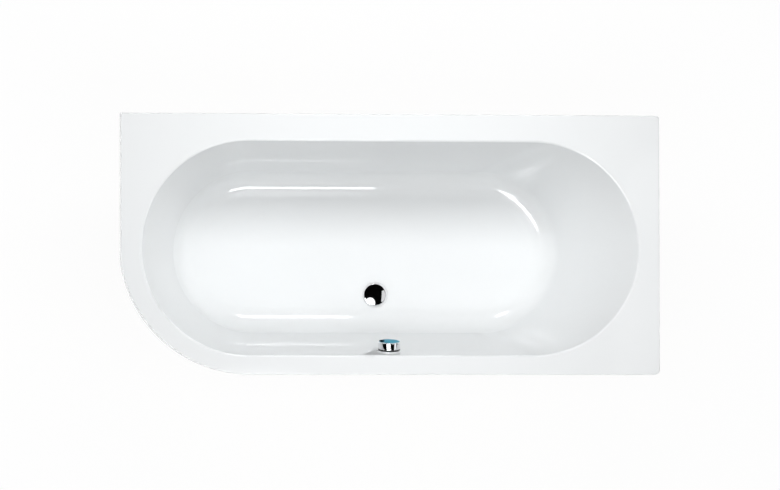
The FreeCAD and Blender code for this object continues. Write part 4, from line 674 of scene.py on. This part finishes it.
SPIGOT_Z, SPIGOT_RADIUS, SPIGOT_DROP, SIDE_PORT_DEPTH, SIDE_PORT_REACH = -0.036, 0.0186, 0.064, 0.050, 0.066
CUP_DEPTH, CUP_BOTTOM, OUTLET_LENGTH, WASHER, COLLAR = 0.074, 0.004, 0.022, 0.003, 0.003
TRAP_LEAD, TRAP_RISE, TRAP_BEND, TRAP_RUN, SOCKET_DEPTH, OUTLET_SEAL = 0.008, 0.015, 0.034, 0.038, 0.027, 0.004
HOSE_CUFF, HOSE_ROOT, HOSE_RIB, HOSE_BORE, HOSE_PITCH = 0.0156, 0.0150, 0.0174, 0.0132, 0.004
COLLAR_LOW = -CUP_DEPTH - CUP_BOTTOM - OUTLET_LENGTH - WASHER - COLLAR
RUN_Z = COLLAR_LOW - TRAP_LEAD + TRAP_RISE + TRAP_BEND
OUTLET_END = TRAP_BEND * 3 + TRAP_RUN + SOCKET_DEPTH + OUTLET_SEAL
SIDE_PORT = Vector((0, WASTE_Y, WASTE_Z - SIDE_PORT_DEPTH))
AT_SPIGOT = AT_OVERFLOW @ Matrix.Translation((0, 0, SPIGOT_Z)) @ Matrix.Rotation(-math.pi / 2, 4, "X")
AT_SIDE_PORT = Matrix.Translation(SIDE_PORT) @ Matrix.Rotation(math.pi / 2, 4, "X")
AT_INLET = AT_WASTE @ Matrix.Rotation(math.pi, 4, "X")
AT_OUTLET = AT_WASTE @ Matrix.Translation((0, 0, RUN_Z)) @ Matrix.Rotation(-math.pi / 2, 4, "X")
hose_nut = {"bore": SPIGOT_RADIUS + NUT_CLEARANCE, "radius": 0.024, "length": 0.020,
            "lip_bore": HOSE_CUFF + NUT_CLEARANCE, "ribs": 24}
outlet_nut = {"bore": 0.0253, "radius": 0.030, "length": 0.024, "lip_bore": 0.0208, "ribs": 30}
inlet_nut = {"bore": 0.0243, "radius": 0.029, "length": 0.024, "lip_bore": 0.0218, "ribs": 30, "lip": WASHER}
for node, place, rows, slot in (
        ("hose_top_nut", AT_SPIGOT, ring_nut_rows(SPIGOT_DROP, **hose_nut), "drain_plastic"),
        ("hose_bottom_nut", AT_SIDE_PORT, ring_nut_rows(SIDE_PORT_REACH, **hose_nut), "drain_plastic"),
        ("trap_outlet_nut", AT_OUTLET, ring_nut_rows(OUTLET_END, **outlet_nut), "trap_plastic"),
        ("trap_inlet_nut", AT_INLET, ring_nut_rows(-COLLAR_LOW, **inlet_nut), "trap_plastic")):
    stand_for(spun(f"{node}_gripped", rows, [place], PIPE_NUT_STEPS, wrap=True), "bath", slot, node)


# Overflow hose and pull cable, each led along one smooth line
def led_line(name, points, fineness):
    curve = bpy.data.curves.new(name, "CURVE")
    curve.dimensions = "3D"
    curve.resolution_u = fineness
    spline = curve.splines.new("NURBS")
    spline.points.add(len(points) - 1)
    for target, point in zip(spline.points, points):
        target.co = (*point, 1)
    spline.order_u = 3
    spline.use_endpoint_u = True
    holder = bpy.data.objects.new(name, curve)
    bpy.context.scene.collection.objects.link(holder)
    bpy.context.view_layer.update()
    mesh = bpy.data.meshes.new_from_object(holder.evaluated_get(bpy.context.evaluated_depsgraph_get()))
    line = [vertex.co.copy() for vertex in mesh.vertices]
    bpy.data.objects.remove(holder)
    return line


BORE_EVERY = 12


def tube_along(name, line, radius_at, bore, steps):
    """A hollow tube round a line that stays in one plane of constant x."""
    across = Vector((1, 0, 0))
    turns = [2 * math.pi * j / steps for j in range(steps)]
    outer, inner = [], []
    tool = bmesh.new()
    run = 0
    length = sum((b - a).length for a, b in zip(line, line[1:]))
    for i, point in enumerate(line):
        heading = (line[min(i + 1, len(line) - 1)] - line[max(i - 1, 0)]).normalized()
        side = heading.cross(across)
        run += (point - line[i - 1]).length if i else 0
        arms = [across * math.cos(turn) + side * math.sin(turn) for turn in turns]
        reach = radius_at(run, length)
        outer.append(add_loop(tool, [point + arm * reach for arm in arms]))
        if i % BORE_EVERY == 0 or i == len(line) - 1:
            inner.append(add_loop(tool, [point + arm * bore for arm in arms]))
    bridge(tool, outer + inner[::-1], wrap=True)
    return piece_from(tool, name, TUBE_SHARP)


inward = Vector((0, math.cos(SIDE_DRAFT), math.sin(SIDE_DRAFT)))
down = Vector((0, math.sin(SIDE_DRAFT), -math.cos(SIDE_DRAFT)))


def slope_points(x, start_drop, end_y, end_z, bend):
    """Down the slope of the wall, one bend, level into the waste."""
    start = OVERFLOW + inward * SPIGOT_Z + down * start_drop + Vector((x, 0, 0))
    corner = start + down * ((start.z - end_z) / -down.z)
    lead = 2 * bend * math.tan((math.pi / 2 - SIDE_DRAFT) / 2)
    return [start, corner - down * lead, corner, Vector((x, end_y, end_z))]


HOSE_ENTRY, HOSE_BEND, CUFF_LENGTH = 0.018, 0.070, 0.0215
WIRE_X, WIRE_Z, CABLE_DROP, ANCHOR_SEAT, CABLE_BEND = 0.040, 0.10232, 0.012, 0.012, 0.090
SHEATH_RADIUS, WIRE_BORE = 0.003, 0.0012


def hose_radius(run, length):
    if min(run, length - run) < CUFF_LENGTH:
        return HOSE_CUFF
    wave = 0.5 - 0.5 * math.cos(2 * math.pi * (run - CUFF_LENGTH) / HOSE_PITCH)
    return HOSE_ROOT + (HOSE_RIB - HOSE_ROOT) * min(1, wave * 1.25)


hose_points = slope_points(0, SPIGOT_DROP - HOSE_ENTRY, WASTE_Y - SIDE_PORT_REACH + HOSE_ENTRY, SIDE_PORT.z,
                           HOSE_BEND)
hose_line = led_line("hose_line", hose_points, fineness=420)
hose = tube_along("overflow_hose_ribbed", hose_line, hose_radius, HOSE_BORE, steps=40)
stand_for(hose, "bath", "hose_plastic", "overflow_hose")
cable_points = slope_points(WIRE_X, CABLE_DROP, WASTE_Y - ANCHOR_SEAT, WIRE_Z, CABLE_BEND)
cable_line = led_line("cable_line", cable_points, fineness=60)
cable = tube_along("cable_sheath_led", cable_line, lambda run, length: SHEATH_RADIUS, WIRE_BORE, steps=24)
stand_for(cable, "bath", "cable_plastic", "cable_sheath")


# Floor, black cloths that only shiny surfaces mirror, and the world
def seen_directly(f):
    """One for rays from the camera and for those that shiny or clear surfaces send on."""
    camera, glossy, clear = [f.node("LightPath", output=f"Is {kind} Ray")
                             for kind in ("Camera", "Glossy", "Transmission")]
    return camera.step("MAXIMUM", camera, glossy.step("MAXIMUM", glossy, clear))


def pale_floor():
    f = finish("pale_floor")
    tint = f.mix(f.grain(3), rgb(0.93, 0.93, 0.93), rgb(0.95, 0.95, 0.95))
    f.paint(base_color=tint, roughness=0.7)
    glow = f.node("Emission", inputs={"Color": rgb(1, 1, 1), "Strength": 1.0})
    blend = f.node("MixShader", inputs=[seen_directly(f) * FLOOR_GLOW, Sock(f, f.shader.outputs[0]), glow])
    under = f.node("NewGeometry", output="Backfacing")
    clear = f.node("MixShader", inputs=[under, blend, f.node("BsdfTransparent")])
    f.tree.links.new(clear.socket, f.tree.nodes["Material Output"].inputs["Surface"])
    return f.owner


def sheet(name, corners, material):
    tool = bmesh.new()
    tool.faces.new(add_loop(tool, corners))
    made = piece_from(tool, name)
    made.data.materials.append(material)
    return made


FLOOR_REACH, FLOOR_GLOW, CLOTH_FRONT, CLOTH_BACK, AMBIENT = 30, 0.95, -2.5, 2.6, 0.03
floor_corners = [(x * FLOOR_REACH, y * FLOOR_REACH, 0) for x, y in ((-1, -1), (1, -1), (1, 1), (-1, 1))]
sheet("floor", floor_corners, pale_floor())
black_cloth = finish("black_cloth").paint(base_color=rgb(0.002, 0.002, 0.002), specular_ior_level=0.0)
for name, left_edge, right_edge in (("black_canopy", (-6.3, 3.0), (2.9, 3.0)),
                                    ("left_cloth", (-6.3, 0.7), (-6.3, 3.0)),
                                    ("right_cloth", (4.0, 0.3), (4.0, 1.8))):
    ends = ((left_edge, CLOTH_FRONT), (right_edge, CLOTH_FRONT),
            (right_edge, CLOTH_BACK), (left_edge, CLOTH_BACK))
    cloth = sheet(name, [(x, y, z) for (x, z), y in ends], black_cloth)
    cloth.visible_camera = cloth.visible_diffuse = cloth.visible_transmission = cloth.visible_shadow = False

world = bpy.data.worlds.new("studio")
bpy.context.scene.world = world
sky = Finish(world, "Background")
sky.feed(sky.shader.inputs["Strength"], seen_directly(sky) * (1 - AMBIENT) + AMBIENT)
sky.feed(sky.shader.inputs["Color"], rgb(0.97, 0.985, 1.0))


# Lamps: panels that light the bath, low ones round its sides, and those that only show as glints
def lamp(name, centre, aim, size, radiance, glint=False, shape="RECTANGLE", turn=0):
    """A soft panel that lights surfaces, or with glint one that shows only as a reflection."""
    data = bpy.data.lights.new(name, "AREA")
    data.shape = shape
    data.size, data.size_y = size
    data.energy = radiance * math.pi * size[0] * size[1]
    made = bpy.data.objects.new(name, data)
    bpy.context.scene.collection.objects.link(made)
    back = (Vector(centre) - Vector(aim)).normalized()
    across = Vector((0, 1, 0)) if abs(back.x) > 0.7 else Vector((1, 0, 0))
    across = (across - back * across.dot(back)).normalized()
    axes = Matrix((across, back.cross(across), back)).transposed()
    axes = axes @ Matrix.Rotation(math.radians(turn), 3, "Z")
    made.matrix_world = Matrix.Translation(centre) @ axes.to_4x4()
    made.visible_camera = False
    made.visible_glossy = glint
    made.visible_diffuse = not glint


PANEL_DISTANCE, PANEL_AIM = 2.4, Vector((0, 0, 0.5))
LOW_HEIGHT, LOW_SIZE = 0.3, (2.0, 0.5)
WASTE_AIM = (0, WASTE_Y, 0.2)


def panel(name, lean, turn, size, radiance):
    lean, turn = math.radians(lean), math.radians(turn)
    way = Vector((math.sin(lean) * math.cos(turn), math.sin(lean) * math.sin(turn), math.cos(lean)))
    lamp(name, PANEL_AIM + way * PANEL_DISTANCE, PANEL_AIM, size, radiance)


panel("back_key", 35, 90, (2.0, 0.55), 10.8)
panel("front_key", 17, 282, (2.0, 1.2), 5.6)
panel("left_fill", 46, 180, (1.0, 1.0), 2.1)
panel("right_fill", 46, 0, (1.0, 1.0), 0.7)
for name, x, y, radiance in (("front", 0, -2.6, 8), ("back", 0, 2.6, 3), ("left", -3.0, 0, 10),
                             ("right", 3.0, 0, 5)):
    lamp(f"{name}_low", (x, y, LOW_HEIGHT), (0, 0, LOW_HEIGHT), LOW_SIZE, radiance)
lamp("front_strip", (0.005, -1.14, 1.5), (0.005, 0.2, 0.2), (0.45, 0.32), 12, glint=True)
lamp("back_strip", (0.075, 1.95, 2.2), (-0.15, -0.2, 0.2), (0.41, 0.60), 12, glint=True)
lamp("corner_strip", (-0.70, -1.38, 2.9), (-0.70, -1.38, 0), (0.85, 1.9), 12, glint=True, shape="ELLIPSE",
     turn=34)
lamp("plug_glint", (-0.16, -0.90, 2.8), WASTE_AIM, (1.02, 1.14), 1.3, glint=True, shape="ELLIPSE")
lamp("knob_glint", (0.18, -1.36, 2.7), OVERFLOW, (0.85, 0.24), 1.3, glint=True)
lamp("side_glint", (1.46, -0.24, 2.8), WASTE_AIM, (1.26, 1.44), 0.62, glint=True, shape="ELLIPSE")

# Camera, above the bath and a little to its left and front
VIEW_LEAN = (math.radians(7.302), math.radians(2.107))
VIEW_ROLL, VIEW_DISTANCE, PIXELS_PER_METRE = math.radians(-0.079), 20.0, 319.71
IMAGE_WIDTH, SENSOR_WIDTH, CLIP_END = 780, 36, 200
view_aim = Vector((-0.00464, -0.00223, RIM))
away = Vector((-math.tan(VIEW_LEAN[0]), -math.tan(VIEW_LEAN[1]), 1)).normalized()
up = (Vector((0, 1, 0)) - away * away.y).normalized()
right = up.cross(away)
turned_right = right * math.cos(VIEW_ROLL) + up * math.sin(VIEW_ROLL)
turned_up = up * math.cos(VIEW_ROLL) - right * math.sin(VIEW_ROLL)
camera_data = bpy.data.cameras.new("camera")
camera_data.sensor_width = SENSOR_WIDTH
camera_data.lens = PIXELS_PER_METRE * VIEW_DISTANCE * SENSOR_WIDTH / IMAGE_WIDTH
camera_data.clip_end = CLIP_END
camera = bpy.data.objects.new("camera", camera_data)
bpy.context.scene.collection.objects.link(camera)
view_axes = Matrix((turned_right, turned_up, away)).transposed().to_4x4()
camera.matrix_world = Matrix.Translation(view_aim + away * VIEW_DISTANCE) @ view_axes
bpy.context.scene.camera = camera
bpy.context.scene.view_settings.view_transform = "Standard"
